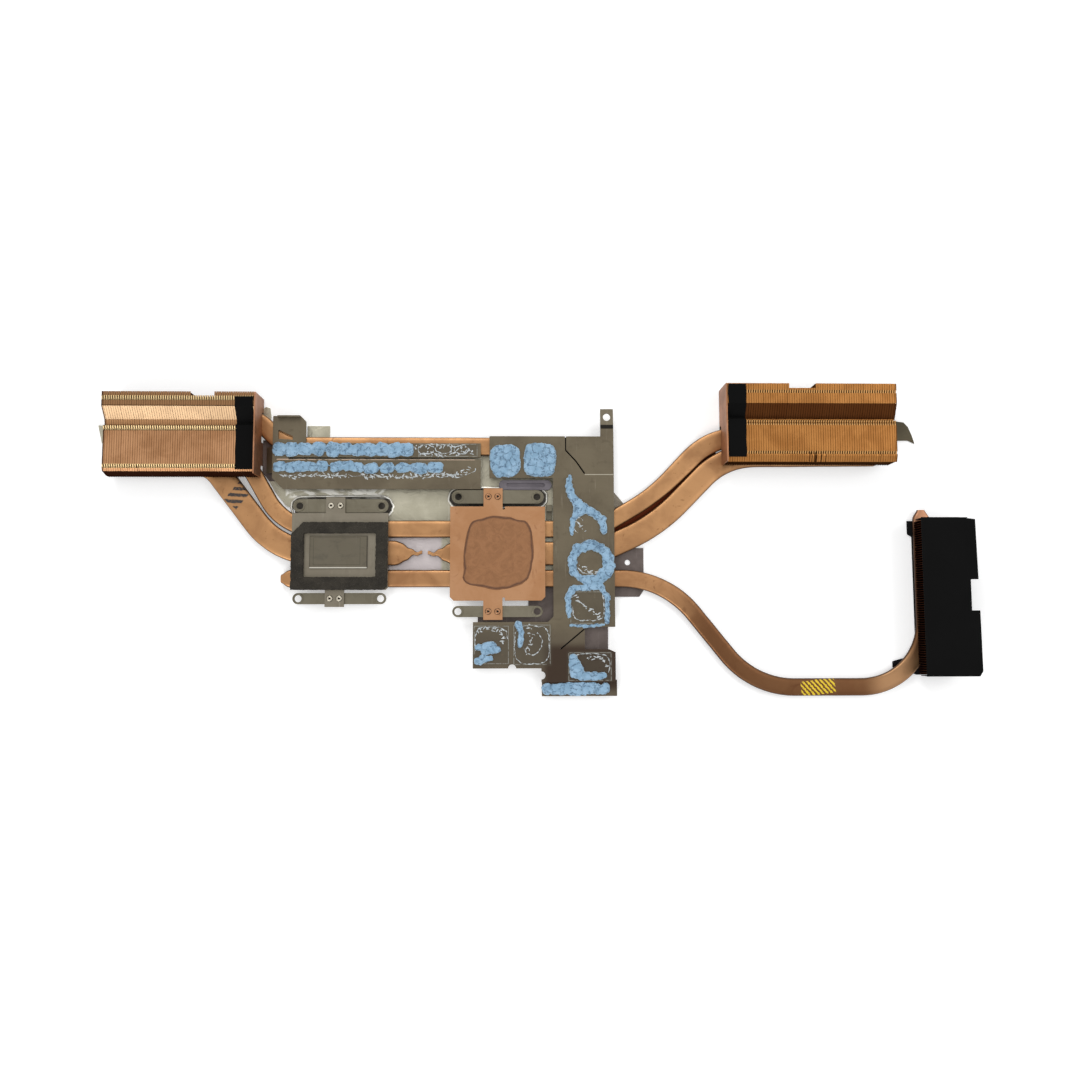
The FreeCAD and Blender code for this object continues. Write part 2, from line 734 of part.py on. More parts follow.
side_base_lap = length("side_base_lap", 0.8, "how far the side base reaches past its rear fin")
side_base_rear = side_fin_rear + side_base_lap
side_base_front = side_fin_rear - side_count * side_pitch - side_base_lap * 0.25
side_base_out = length("side_base_out", 1.2, "how far it reaches past the fins' outer face")
side_ear_x = length("side_ear_x", 155.2, "X of its front ear's end")
side_ear_low = length("side_ear_low", 3.2, "distance from its front edge to the front ear")
side_ear_wide = length("side_ear_wide", 3.2, "width of the front ear where it curls")
side_ear_root = length("side_ear_root", 8.6, "distance from its front edge to the ear's rear root")
side_lug_out = length("side_lug_out", 1.9, "reach of its small rear lug")
side_lug_long = length("side_lug_long", 5.8, "length of its small rear lug")
side_base = plate(
    "side_base_sheet",
    sheet_thick,
    [
        (side_inner, side_base_front),
        (side_outer + side_base_out, side_base_front),
        (side_outer + side_base_out, side_base_rear),
        (side_inner - side_lug_out, side_base_rear),
        (side_inner - side_lug_out, side_base_rear - side_lug_long),
        (side_inner, side_base_rear - side_lug_long - side_base_out),
        (side_inner, side_base_front + side_ear_root),
        (side_ear_x + ear_curl, side_base_front + side_ear_low + side_ear_wide),
        (side_ear_x, side_base_front + side_ear_low + side_ear_wide * 0.8),
        (side_ear_x, side_base_front + side_ear_low),
    ],
    0,
)

rear_sheet_left = length("rear_sheet_left", -109.7, "X of the bright rear sheet's left edge")
rear_sheet_right = length("rear_sheet_right", 29.2, "X of its right edge")
rear_sheet_rear = length("rear_sheet_rear", 38.0, "Y of its rear edge")
rear_sheet_front = length("rear_sheet_front", -13.0, "Y of its front edge")
rear_tab_x = length("rear_tab_x", -98.9, "X of its rear tab")
rear_tab_wide = length("rear_tab_wide", 9.8, "width of its rear tab")
rear_tab_y = length("rear_tab_y", 50.4, "Y of its rear tab's end")
recess_deep = length("recess_deep", 0.3, "depth of the recesses under the arms")
flare_x = length("flare_x", 38.9, "X of its pointed right corner")
flare_y = length("flare_y", 16.5, "Y of its pointed right corner")
flare_half = length("flare_half", 8.5, "half the length of the flare's root")
rear_step = length("rear_step", 6.0, "step of its left edge beside the first chip")
rear_step_rear = length("rear_step_rear", 26.0, "Y where the step begins")
rear_step_front = length("rear_step_front", 16.0, "Y where the step ends")
rear_sheet = plate(
    "rear_sheet",
    sheet_thick,
    [
        (rear_sheet_left + rear_step, rear_step_front),
        (rear_sheet_left + rear_step, rear_sheet_front),
        (rear_sheet_right, rear_sheet_front),
        (rear_sheet_right, flare_y - flare_half),
        ((rear_sheet_right + flare_x) / 2, flare_y - flare_half / 2),
        (flare_x, flare_y),
        ((rear_sheet_right + flare_x) / 2 + sheet_thick * 2, flare_y + flare_half * 0.55),
        (rear_sheet_right, flare_y + flare_half),
        (rear_sheet_right, rear_sheet_rear),
        (rear_tab_x + rear_tab_wide, rear_sheet_rear),
        (rear_tab_x + rear_tab_wide, rear_tab_y),
        (rear_tab_x, rear_tab_y),
        (rear_tab_x, rear_sheet_rear),
        (rear_sheet_left, rear_sheet_rear),
        (rear_sheet_left, rear_step_rear),
    ],
    0,
)

front_sheet_front = length("front_sheet_front", -36.2, "Y of the dark front sheet's front edge")
front_sheet_right = length("front_sheet_right", 47.4, "X of its right wing")
sheet_gap = length("sheet_gap", 0.5, "gap between the two sheets")
wing_hole_x = length("wing_hole_x", 40.4, "X of the hole in its wing")
wing_hole_y = length("wing_hole_y", -9.4, "Y of the hole in its wing")
wing_hole = length("wing_hole", 1.2, "radius of the hole in its wing")
wing_rear = length("wing_rear", -3.1, "Y of its wing's rear edge")
wing_front = length("wing_front", -24.3, "Y of its wing's front edge")
wing_cut = length("wing_cut", 2.0, "width of its wing's corner cut")
front_sheet_left = length("front_sheet_left", -24.5, "X of its left end")
front_sheet_root = length("front_sheet_root", -2.7, "X of its left edge between the cold plates")
front_sheet_edge = length("front_sheet_edge", 33.6, "X of its right edge before the wing")
front_lip_deep = length("front_lip_deep", 4.0, "depth of its strip under the memory plate's arm")
tongue_left = length("tongue_left", 21.3, "X of its front tongue's left edge")
tongue_right = length("tongue_right", 31.7, "X of its front tongue's right edge")
tongue_front = length("tongue_front", -47.6, "Y of its front tongue's end")
front_sheet = plate(
    "front_sheet",
    sheet_thick,
    [
        (front_sheet_root, rear_sheet_front - sheet_gap),
        (front_sheet_root, front_sheet_front + front_lip_deep),
        (front_sheet_left, front_sheet_front + front_lip_deep),
        (front_sheet_left, front_sheet_front),
        (tongue_left, front_sheet_front),
        (tongue_left, tongue_front),
        (tongue_right, tongue_front),
        (tongue_right, front_sheet_front),
        (front_sheet_edge, front_sheet_front),
        (front_sheet_edge, wing_front),
        (front_sheet_right - wing_cut, wing_front),
        (front_sheet_right, wing_front + wing_cut * 1.45),
        (front_sheet_right, wing_rear),
        (rear_sheet_right + sheet_gap, wing_rear),
        (rear_sheet_right + sheet_gap, rear_sheet_front - sheet_gap),
    ],
    0,
    [(wing_hole_x, wing_hole_y, wing_hole)],
)


# First cold plate, its gasket, arms and rivets

def arm_recess(name, x, y, half, radius):
    """A shallow pressed recess in the rear sheet, round one spring arm."""
    sketch = new_sketch(rear_sheet, name, "XY_Plane", sheet_thick)
    stadium(sketch, x - half, x + half, y, radius)
    pocket(rear_sheet, sketch, recess_deep)


cpu_x = length("cpu_x", -83.3, "X of the first chip's screw pattern centre")
cpu_y = length("cpu_y", -5.1, "Y of the first chip's screw pattern centre")
cpu_span_x = length("cpu_span_x", 35.0, "its screw spacing along X")
cpu_span_y = length("cpu_span_y", 39.8, "its screw spacing along Y")
cpu_wide = length("cpu_wide", 41.0, "width of the first cold plate")
cpu_rear_gap = length("cpu_rear_gap", 0.3, "gap between its rear edge and the rear arm")
cpu_front_gap = length("cpu_front_gap", 1.3, "gap between its front edge and the front arm")
gpu_x = length("gpu_x", -15.9, "X of the second chip's screw pattern centre")
gpu_y = length("gpu_y", -5.9, "Y of the second chip's screw pattern centre")
gpu_span_x = length("gpu_span_x", 33.9, "its screw spacing along X")
gpu_span_y = length("gpu_span_y", 49.4, "its screw spacing along Y")
gpu_wide = length("gpu_wide", 40.8, "width of the second cold plate")
gpu_rear_gap = length("gpu_rear_gap", 1.4, "gap between its rear edge and the rear arm")
gpu_front_gap = length("gpu_front_gap", 2.2, "gap between its front edge and the front arm")
tab_wide = length("tab_wide", 8.2, "width of a cold plate's tabs")
tab_reach = length("tab_reach", 3.6, "reach of a tab past the rivets")
tab_shift = length("tab_shift", -2.0, "X of the tabs from the screw pattern centre")
rivet_apart = length("rivet_apart", 4.0, "spacing of a tab's two rivets")
rivet_hole = length("rivet_hole", 0.8, "radius of the rivet holes")
arm_hole = length("arm_hole", 1.5, "radius of the screw holes")
arm_end = length("arm_end", 2.9, "radius of a rear arm's round ends")
slim_end = length("slim_end", 2.4, "radius of a front arm's round ends")
cpu_rear = cpu_y + cpu_span_y / 2 - arm_end - cpu_rear_gap
cpu_front = cpu_y - cpu_span_y / 2 + slim_end + cpu_front_gap
gpu_rear = gpu_y + gpu_span_y / 2 - arm_end - gpu_rear_gap
gpu_front = gpu_y - gpu_span_y / 2 + slim_end + gpu_front_gap


def cold_plate(label, x, y, span_y, wide, rear, front, corner):
    """A cold plate with a rear and a front tab that reach over the spring arms."""
    body = new_body(label, x, y, pipe_top)
    half, back, fore = wide / 2, rear - y, front - y
    face = new_sketch(body, "outline")
    outline(
        face,
        [
            (-half, back),
            (-half, fore + corner),
            (-half + corner, fore),
            (half - corner, fore),
            (half, fore + corner),
            (half, back),
        ],
    )
    pad(body, face, cold_thick)
    for name, edge, side in (("rear_tab", back, 1), ("front_tab", fore, -1)):
        tab = new_sketch(body, name, "XY_Plane", cold_thick - tab_thick)
        end = side * (span_y / 2 + tab_reach)
        x0, x1 = tab_shift - tab_wide / 2, tab_shift + tab_wide / 2
        corners = [(x0, edge), (x1, edge), (x1, end), (x0, end)]
        outline(tab, corners if side > 0 else corners[::-1])
        for step in (-1, 1):
            circle(tab, tab_shift + step * rivet_apart / 2, side * span_y / 2, rivet_hole)
        pad(body, tab, tab_thick)
    return body


cpu_corner = length("cpu_corner", 0.8, "corner cut of the first cold plate")
cpu_cold_plate = cold_plate(
    "cpu_cold_plate", cpu_x, cpu_y, cpu_span_y, cpu_wide, cpu_rear, cpu_front, cpu_corner
)
step_wide = length("step_wide", 24.4, "width of the raised chip face")
step_deep = length("step_deep", 13.8, "depth of the raised chip face")
step_x = length("step_x", -0.5, "X of the raised face from the screw pattern centre")
step_y = length("step_y", -0.1, "Y of the raised face from the screw pattern centre")
step_high = length("step_high", 0.7, "height of the raised chip face")
step_sketch = new_sketch(cpu_cold_plate, "chip_face", "XY_Plane", cold_thick)
rectangle(
    step_sketch,
    step_x - step_wide / 2,
    step_y - step_deep / 2,
    step_x + step_wide / 2,
    step_y + step_deep / 2,
)
pad(cpu_cold_plate, step_sketch, step_high)

gpu_corner = length("gpu_corner", 1.6, "corner cut of the second cold plate")
gpu_cold_plate = cold_plate(
    "gpu_cold_plate", gpu_x, gpu_y, gpu_span_y, gpu_wide, gpu_rear, gpu_front, gpu_corner
)
relief = length("relief", 1.0, "width of the relief cut beside each tab")
for name, edge, side in (("rear_relief", gpu_rear - gpu_y, 1), ("front_relief", gpu_front - gpu_y, -1)):
    cut = new_sketch(gpu_cold_plate, name, "XY_Plane", cold_thick)
    x0 = tab_shift + tab_wide / 2
    inner, outer = edge - side * relief * 1.3, edge + side * relief
    rectangle(cut, x0, inner if side > 0 else outer, x0 + relief, outer if side > 0 else inner)
    pocket(gpu_cold_plate, cut, cold_thick)

gasket_thick = length("gasket_thick", 1.5, "thickness of the foam gasket")
gasket_inset = length("gasket_inset", 4.0, "distance from the cold plate's rear edge to the gasket")
gasket_corner = length("gasket_corner", 5.0, "cut of its rear left corner")
gasket_nick = length("gasket_nick", 1.5, "cut of its front right corner")
window_margin_left = length("window_margin_left", 2.5, "from the chip face to its window's left edge")
window_margin_right = length("window_margin_right", 3.7, "to its window's right edge")
window_margin_rear = length("window_margin_rear", 1.2, "to its window's rear edge")
window_margin_front = length("window_margin_front", 3.8, "to its window's front edge")
gasket = new_body("cpu_foam_gasket", cpu_x, cpu_y, cold_top)
gasket_face = new_sketch(gasket, "outline")
half, back, fore = cpu_wide / 2, cpu_rear - gasket_inset - cpu_y, cpu_front - cpu_y
outline(
    gasket_face,
    [
        (-half, back - gasket_corner),
        (-half, fore),
        (half - gasket_nick, fore),
        (half, fore + gasket_nick),
        (half, back),
        (-half + gasket_corner, back),
    ],
)
rectangle(
    gasket_face,
    step_x - step_wide / 2 - window_margin_left,
    step_y - step_deep / 2 - window_margin_front,
    step_x + step_wide / 2 + window_margin_right,
    step_y + step_deep / 2 + window_margin_rear,
)
pad(gasket, gasket_face, gasket_thick)


def spring_arm(label, x, y, span, end_radius):
    """A leaf spring with a screw hole at each end, riveted at its middle."""
    body = new_body(label, x, y, arm_bottom)
    leaf = new_sketch(body, "leaf")
    stadium(leaf, -span / 2, span / 2, 0.0, end_radius)
    for side in (-1, 1):
        circle(leaf, side * span / 2, 0.0, arm_hole)
        circle(leaf, tab_shift + side * rivet_apart / 2, 0.0, rivet_hole)
    pad(body, leaf, arm_thick)
    return body


arm_places = {
    "cpu_rear_arm": (cpu_x, cpu_y + cpu_span_y / 2, cpu_span_x, arm_end),
    "cpu_front_arm": (cpu_x, cpu_y - cpu_span_y / 2, cpu_span_x, slim_end),
    "gpu_rear_arm": (gpu_x, gpu_y + gpu_span_y / 2, gpu_span_x, arm_end),
    "gpu_front_arm": (gpu_x, gpu_y - gpu_span_y / 2, gpu_span_x, slim_end),
}
for label, (x, y, span, end_radius) in arm_places.items():
    spring_arm(label, x, y, span, end_radius)

recess_margin = length("recess_margin", 1.6, "margin of a recess round its arm")
for name in ("cpu_rear_arm", "gpu_rear_arm"):
    x, y, span, end_radius = arm_places[name]
    arm_recess(name + "_recess", x, y, span / 2, end_radius + recess_margin)

rivet_shank = length("rivet_shank", 0.7, "radius of a rivet's shank")
rivet_head = length("rivet_head", 1.35, "radius of a rivet's head")
rivet_head_high = length("rivet_head_high", 0.35, "height of a rivet's head")
rivets = new_body("arm_rivets", z=arm_bottom)
rivet_layers = (
    ("shank", none, rivet_shank, arm_thick + tab_thick),
    ("head", arm_thick + tab_thick, rivet_head, rivet_head_high),
)
for name, level, radius, high in rivet_layers:
    sketch = new_sketch(rivets, name, "XY_Plane", level)
    for x, y, span, end_radius in arm_places.values():
        for side in (-1, 1):
            circle(sketch, x + tab_shift + side * rivet_apart / 2, y, radius)
    pad(rivets, sketch, high)


# Pressed plates over the transistors and the memory

vrm_plate_left = length("vrm_plate_left", -113.0, "X of the transistor plate's left edge")
vrm_plate_right = length("vrm_plate_right", -23.3, "X of its right edge")
vrm_plate_gap = length("vrm_plate_gap", 0.4, "gap between it and the second chip's rear arm")
vrm_plate_front = gpu_y + gpu_span_y / 2 + arm_end + vrm_plate_gap
vrm_plate_rear = length("vrm_plate_rear", 42.2, "Y of its rear edge")
vrm_tab_right = length("vrm_tab_right", -98.7, "X of its rear tab's right edge")
vrm_tab_rear = length("vrm_tab_rear", 54.0, "Y of its rear tab's end")
vrm_slit_y = length("vrm_slit_y", 35.5, "Y of its long slit")
vrm_slit = length("vrm_slit", 0.9, "width of its long slit")
vrm_slit_start = length("vrm_slit_start", -106.0, "X of the slit's closed end")
vrm_chamfer = length("vrm_chamfer", 4.8, "its front left corner cut")
vrm_tab_cut = length("vrm_tab_cut", 2.4, "corner cut of its rear tab")
vrm_window = length("vrm_window", 1.8, "width of the short window beside the slit's closed end")
vrm_window_y = length("vrm_window_y", 37.0, "Y of that window's front edge")
vrm_window_inset = length("vrm_window_inset", 1.0, "from the plate's left edge to that window")
peephole_x = length("peephole_x", 2.4, "from the plate's left edge to the tab's slanted window")
peephole_y = length("peephole_y", 44.0, "Y of the slanted window's front edge")
peephole_wide = length("peephole_wide", 6.2, "width of the slanted window")
transistor_plate = plate(
    "transistor_plate",
    plate_thick,
    [
        (vrm_plate_left, vrm_plate_front + vrm_chamfer),
        (vrm_plate_left + vrm_chamfer, vrm_plate_front),
        (vrm_plate_right, vrm_plate_front),
        (vrm_plate_right, vrm_slit_y - vrm_slit / 2),
        (vrm_slit_start, vrm_slit_y - vrm_slit / 2),
        (vrm_slit_start, vrm_slit_y + vrm_slit / 2),
        (vrm_plate_right, vrm_slit_y + vrm_slit / 2),
        (vrm_plate_right, vrm_plate_rear),
        (vrm_tab_right, vrm_plate_rear),
        (vrm_tab_right, vrm_tab_rear - vrm_tab_cut),
        (vrm_tab_right - vrm_tab_cut, vrm_tab_rear),
        (vrm_plate_left, vrm_tab_rear),
    ],
    pipe_top,
)
cuts = new_sketch(transistor_plate, "cuts", "XY_Plane", plate_thick)
rectangle(
    cuts,
    vrm_plate_left + vrm_window_inset,
    vrm_window_y,
    vrm_slit_start - vrm_window_inset * 0.4,
    vrm_window_y + vrm_window,
)
peep_left = vrm_plate_left + peephole_x
peep_right = peep_left + peephole_wide
outline(
    cuts,
    [
        (peep_left, peephole_y),
        (peep_right, peephole_y - vrm_slit * 0.45),
        (peep_right, peephole_y + vrm_tab_cut * 0.5),
        (peep_left, peephole_y + vrm_tab_cut * 1.6),
    ],
)
pocket(transistor_plate, cuts, plate_thick)
fold_drop = length("fold_drop", 2.6, "drop of the transistor plate's left fold")
fold_out = length("fold_out", 3.0, "reach of the transistor plate's left fold")
fold_long = length("fold_long", 11.4, "length of the transistor plate's left fold")
fold_inset = length("fold_inset", 1.6, "from the plate's rear edge to its left fold")
fold = new_sketch(transistor_plate, "left_fold", "XZ_Plane", -vrm_plate_rear + fold_inset)
outline(
    fold,
    [
        (vrm_plate_left, 0.0),
        (vrm_plate_left, plate_thick),
        (vrm_plate_left - fold_out, plate_thick - fold_drop),
        (vrm_plate_left - fold_out, -fold_drop),
    ],
)
pad(transistor_plate, fold, fold_long)
lip_high = length("lip_high", 1.6, "height of the lip at its tab's end")
lip_inset = length("lip_inset", 2.2, "from the tab's left edge to the lip")
lip = new_sketch(transistor_plate, "tab_lip", "XY_Plane", plate_thick)
rectangle(
    lip,
    vrm_plate_left + lip_inset,
    vrm_tab_rear - plate_thick,
    vrm_tab_right - vrm_tab_cut,
    vrm_tab_rear,
)
pad(transistor_plate, lip, lip_high)

memory_left = length("memory_left", -19.5, "X of the memory plate's rear arm end")
memory_rear = length("memory_rear", 45.4, "Y of its rear edge")
memory_right = length("memory_right", 34.5, "X of its right edge")
column_left = length("column_left", 8.0, "X of its column's left edge")
rear_arm_front = length("rear_arm_front", 27.0, "Y of its rear arm's front edge")
front_arm_left = length("front_arm_left", -26.4, "X of its front arm's end")
front_arm_gap = length("front_arm_gap", 2.1, "gap between its front arm and the chip's front arm")
front_arm_rear = gpu_y - gpu_span_y / 2 - slim_end - front_arm_gap
front_arm_front = length("front_arm_front", -54.8, "Y of its front arm's front edge")
column_front = length("column_front", -37.3, "Y of its column's front edge at the right")
block_front = length("block_front", -60.7, "Y of its front block's front edge")
tab_left = length("tab_left", 28.7, "X of its rear tab's left edge")
tab_rear = length("tab_rear", 57.5, "Y of its rear tab's end")
tab_hole_x = length("tab_hole_x", 31.5, "X of the hole in its rear tab")
tab_hole_y = length("tab_hole_y", 53.9, "Y of the hole in its rear tab")
tab_hole = length("tab_hole", 1.6, "radius of the hole in its rear tab")
notch_round = length("notch_round", 1.7, "radius of its half-round notches")
block_left = length("block_left", 2.8, "X of its front block's left edge")
block_rear = length("block_rear", -46.8, "Y of its front block's rear edge")
block_cut = length("block_cut", 2.7, "width of the block's rear right corner cut")
bay_left = length("bay_left", 21.4, "X of the bay between its column and its block")
column_foot = length("column_foot", 2.3, "corner cut where the front arm leaves the column")
front_notch_x = length("front_notch_x", -9.7, "X of the half-round notch in its front arm")
block_notch_y = length("block_notch_y", -57.8, "Y of the half-round notch in its front block")
tab_draft = length("tab_draft", 0.2, "how far its rear tab's right edge leans in")
memory_plate = plate(
    "memory_plate",
    plate_thick,
    [
        (memory_left, memory_rear),
        (memory_left, rear_arm_front),
        (column_left, rear_arm_front),
        (column_left, front_arm_rear + column_foot),
        (column_left - column_foot, front_arm_rear),
        (front_arm_left, front_arm_rear),
        (front_arm_left, front_arm_front),
        (block_left, front_arm_front),
        (block_left, block_front),
        (memory_right, block_front),
        (memory_right, block_rear - block_cut * 0.45),
        (memory_right - block_cut, block_rear),
        (bay_left, block_rear),
        (bay_left, column_front),
        (memory_right, column_front),
        (memory_right, memory_rear),
        (memory_right - tab_draft, tab_rear),
        (tab_left, tab_rear),
        (tab_left, memory_rear),
    ],
    pipe_top,
    [(tab_hole_x, tab_hole_y, tab_hole)],
)
slits = new_sketch(memory_plate, "slits", "XY_Plane", plate_thick)
slit_wide = length("slit_wide", 0.5, "width of its crooked slits")
slit_x = length("slit_x", 13.3, "X of the rear slit")
slit_first = length("slit_first", 6.3, "length of the rear slit's straight run")
slit_knee_x = length("slit_knee_x", 4.5, "X from the slit's start to its knee")
slit_knee_y = length("slit_knee_y", 11.2, "Y from the plate's rear edge to its knee")
slit_end_x = length("slit_end_x", 8.2, "X from the slit's start to its end")
slit_end_y = length("slit_end_y", 16.6, "Y from the plate's rear edge to its end")
front_slit_x = length("front_slit_x", 10.8, "X of the front slit's end")
front_slit_y = length("front_slit_y", -46.5, "Y of the front slit's end")
slit_lap = length("slit_lap", 0.6, "how far a slit's outline runs past the plate's edge")
outline(
    slits,
    [
        (slit_x, memory_rear + slit_lap),
        (slit_x, memory_rear - slit_first),
        (slit_x + slit_knee_x, memory_rear - slit_knee_y),
        (slit_x + slit_end_x, memory_rear - slit_end_y),
        (slit_x + slit_end_x + slit_wide, memory_rear - slit_end_y + slit_wide * 0.8),
        (slit_x + slit_knee_x + slit_wide, memory_rear - slit_knee_y + slit_wide * 0.6),
        (slit_x + slit_wide, memory_rear - slit_first + slit_wide * 0.6),
        (slit_x + slit_wide, memory_rear + slit_lap),
    ],
)
outline(
    slits,
    [
        (bay_left + slit_wide * 0.4, column_front - slit_wide * 0.4),
        (front_slit_x, front_slit_y),
        (front_slit_x + slit_wide * 0.8, front_slit_y - slit_wide * 0.8),
        (bay_left + slit_wide * 0.4, column_front - slit_wide * 1.8),
    ],
)
for x, y in ((front_notch_x, front_arm_front), (block_left, block_notch_y)):
    circle(slits, x, y, notch_round)
pocket(memory_plate, slits, plate_thick)

rail_front = length("rail_front", -66.6, "Y of the front rail's front edge")
rail_lap = length("rail_lap", 1.0, "lap of the front rail under the memory plate")
rail_left = block_left + notch_round * 0.1
rail_right = memory_right + slit_lap
front_rail = plate(
    "front_rail",
    plate_thick,
    [
        (rail_left, rail_front),
        (rail_right, rail_front),
        (rail_right, block_front + rail_lap),
        (rail_left, block_front + rail_lap),
    ],
    pipe_top - plate_thick,
)


# Small pieces on the rear sheet

strip_left = length("strip_left", -15.4, "X of the slotted strip's left end")
strip_right = length("strip_right", 7.6, "X of its right end")
strip_y = length("strip_y", 24.3, "Y of the slotted strip")
strip_half = length("strip_half", 2.2, "half the width of the slotted strip")
strip_high = length("strip_high", 1.6, "height of the slotted strip")
slot_inset = length("slot_inset", 4.0, "from the strip's end to its slot's end radius")
slotted_strip = new_body("slotted_strip", z=sheet_thick)
strip_face = new_sketch(slotted_strip, "outline")
stadium(strip_face, strip_left + strip_half, strip_right - strip_half, strip_y, strip_half)
pad(slotted_strip, strip_face, strip_high)
strip_slot = new_sketch(slotted_strip, "slot", "XY_Plane", strip_high)
stadium(
    strip_slot, strip_left + slot_inset, strip_right - slot_inset, strip_y, strip_half * 0.4
)
pocket(slotted_strip, strip_slot, strip_high * 0.5)

clip_x = length("clip_x", 5.2, "X of the small spring clip")
clip_y = length("clip_y", 9.2, "Y of its front end")
clip_long = length("clip_long", 6.4, "length of the small spring clip")
clip_wide = length("clip_wide", 2.4, "width of the small spring clip")
clip_high = length("clip_high", 2.2, "height of the small spring clip")
clip_thick = length("clip_thick", 0.4, "thickness of the small spring clip's metal")
spring_clip = new_body("spring_clip", clip_x, clip_y, sheet_thick)
clip_side = new_sketch(spring_clip, "side", "YZ_Plane")
outline(
    clip_side,
    [
        (0.0, 0.0),
        (clip_long, 0.0),
        (clip_long, clip_high),
        (clip_long * 0.55, clip_high),
        (clip_long * 0.55, clip_high - clip_thick),
        (clip_long - clip_thick, clip_high - clip_thick),
        (clip_long - clip_thick, clip_thick),
        (0.0, clip_thick),
    ],
)
pad(spring_clip, clip_side, clip_wide)


# Black film over the side stack

film_thick = length("film_thick", 0.3, "thickness of the black film")
film_gap = length("film_gap", 0.05, "glue line under the black film")
film_lap_in = length("film_lap_in", 0.6, "how far the film reaches past the fins' inner face")
film_lap_out = length("film_lap_out", 3.6, "how far the film reaches past the fins' outer face")
film_left = side_inner - film_lap_in
film_right = side_outer + film_lap_out
film_notch = length("film_notch", 3.3, "depth of its notch")
film_notch_front = length("film_notch_front", -30.7, "Y of the notch's front edge")
film_notch_rear = length("film_notch_rear", -17.5, "Y of the notch's rear edge")
film_bulge = length("film_bulge", 0.4, "how far its right edge waves in and out")
film_curl = length("film_curl", 2.2, "length of its front right corner's wave")
film_straight = length("film_straight", 16.0, "length of its straight rear edge")
flap_inset = length("flap_inset", 1.0, "from the film's left edge to its turned-down ends")
film_level = side_high + film_gap
side_film = new_body("side_film", z=film_level)
film_face = new_sketch(side_film, "outline")
film_front, film_rear = side_base_front - film_thick, side_base_rear + film_thick
outline(
    film_face,
    [
        (film_left, film_front),
        (film_right - flap_inset, film_front),
        (film_right + film_bulge, film_front + film_curl),
        (film_right + film_bulge / 2, film_notch_front),
        (film_right - film_notch, film_notch_front),
        (film_right - film_notch, film_notch_rear),
        (film_right, film_notch_rear),
        (film_right - film_bulge, film_rear - film_bulge * 2),
        (film_left + film_straight, film_rear),
        (film_left, film_rear),
    ],
)
pad(side_film, film_face, film_thick)
film_drop = length("film_drop", 8.6, "depth of the film's turned-down ends")
for name, y in (("front_flap", film_front), ("rear_flap", film_rear - film_thick)):
    flap = new_sketch(side_film, name)
    rectangle(flap, film_left + flap_inset, y, side_outer, y + film_thick)
    feature = pad(side_film, flap, film_drop)
    feature.Reversed = True


# Heat-conducting putty and paste, as they were left: irregular patches with plain outlines

putty_thick = length("putty_thick", 1.3, "thickness of the putty")
paste_thick = length("paste_thick", 0.2, "thickness of the paste film")


def loop_face(points):
    """The flat face inside a closed outline."""
    corners = [Vector(x, y, 0) for x, y in points]
    return Part.Face(Part.makePolygon(corners + corners[:1]))


def patch(points, thick, hole=None):
    """One flat patch: the face inside a loop, less an inner loop, raised to its thickness."""
    face = loop_face(points)
    if hole:
        face = face.cut(loop_face(hole))
    return face.extrude(Vector(0, 0, thick.value))


def patches(label, solids, x, y, z):
    """A group of separate patches that lie on one plate."""
    feature = document.addObject("Part::Feature", label)
    feature.Label = label
    feature.Shape = Part.makeCompound(solids) if len(solids) > 1 else solids[0]
    feature.Placement = FreeCAD.Placement(Vector(number(x), number(y), number(z)), FreeCAD.Rotation())
    parts.append(feature)
    return feature


def scallops(x0, x1, low, high, waves, depth):
    """A strip's outline whose long sides are scalloped, like beads of putty run together."""
    points = []
    step = (x1 - x0) / waves
    for i in range(waves + 1):
        points.append((x0 + i * step, low + (depth if i % 2 else 0)))
    for i in range(waves, -1, -1):
        points.append((x0 + i * step, high - (depth if i % 2 else 0)))
    return points


def ring_points(half_x, half_y, power, count=12):
    """Points round a rounded square; a larger power is squarer."""
    points = []
    for i in range(count):
        a = 2 * math.pi * i / count
        c, s = math.cos(a), math.sin(a)
        size = (abs(c) ** power + abs(s) ** power) ** (-1.0 / power)
        points.append((half_x * c * size, half_y * s * size))
    return points


def moved(points, x, y):
    return [(px + x, py + y) for px, py in points]


plate_level = pipe_top + plate_thick
lozenge = ring_points(3.0, 3.0, 4, 8)
row_solids = [
    patch(scallops(0.6, 60.0, 15.0, 21.0, 12, 0.5), putty_thick),
    patch(scallops(0.6, 38.0, 7.6, 12.4, 10, 0.5), putty_thick),
]
for i in range(5):
    row_solids.append(patch(moved(lozenge, 42.4 + 6.5 * i, 10.0 - 0.1 * i), putty_thick))
transistor_putty = patches(
    "transistor_putty", row_solids, vrm_plate_left, vrm_plate_front, plate_level
)

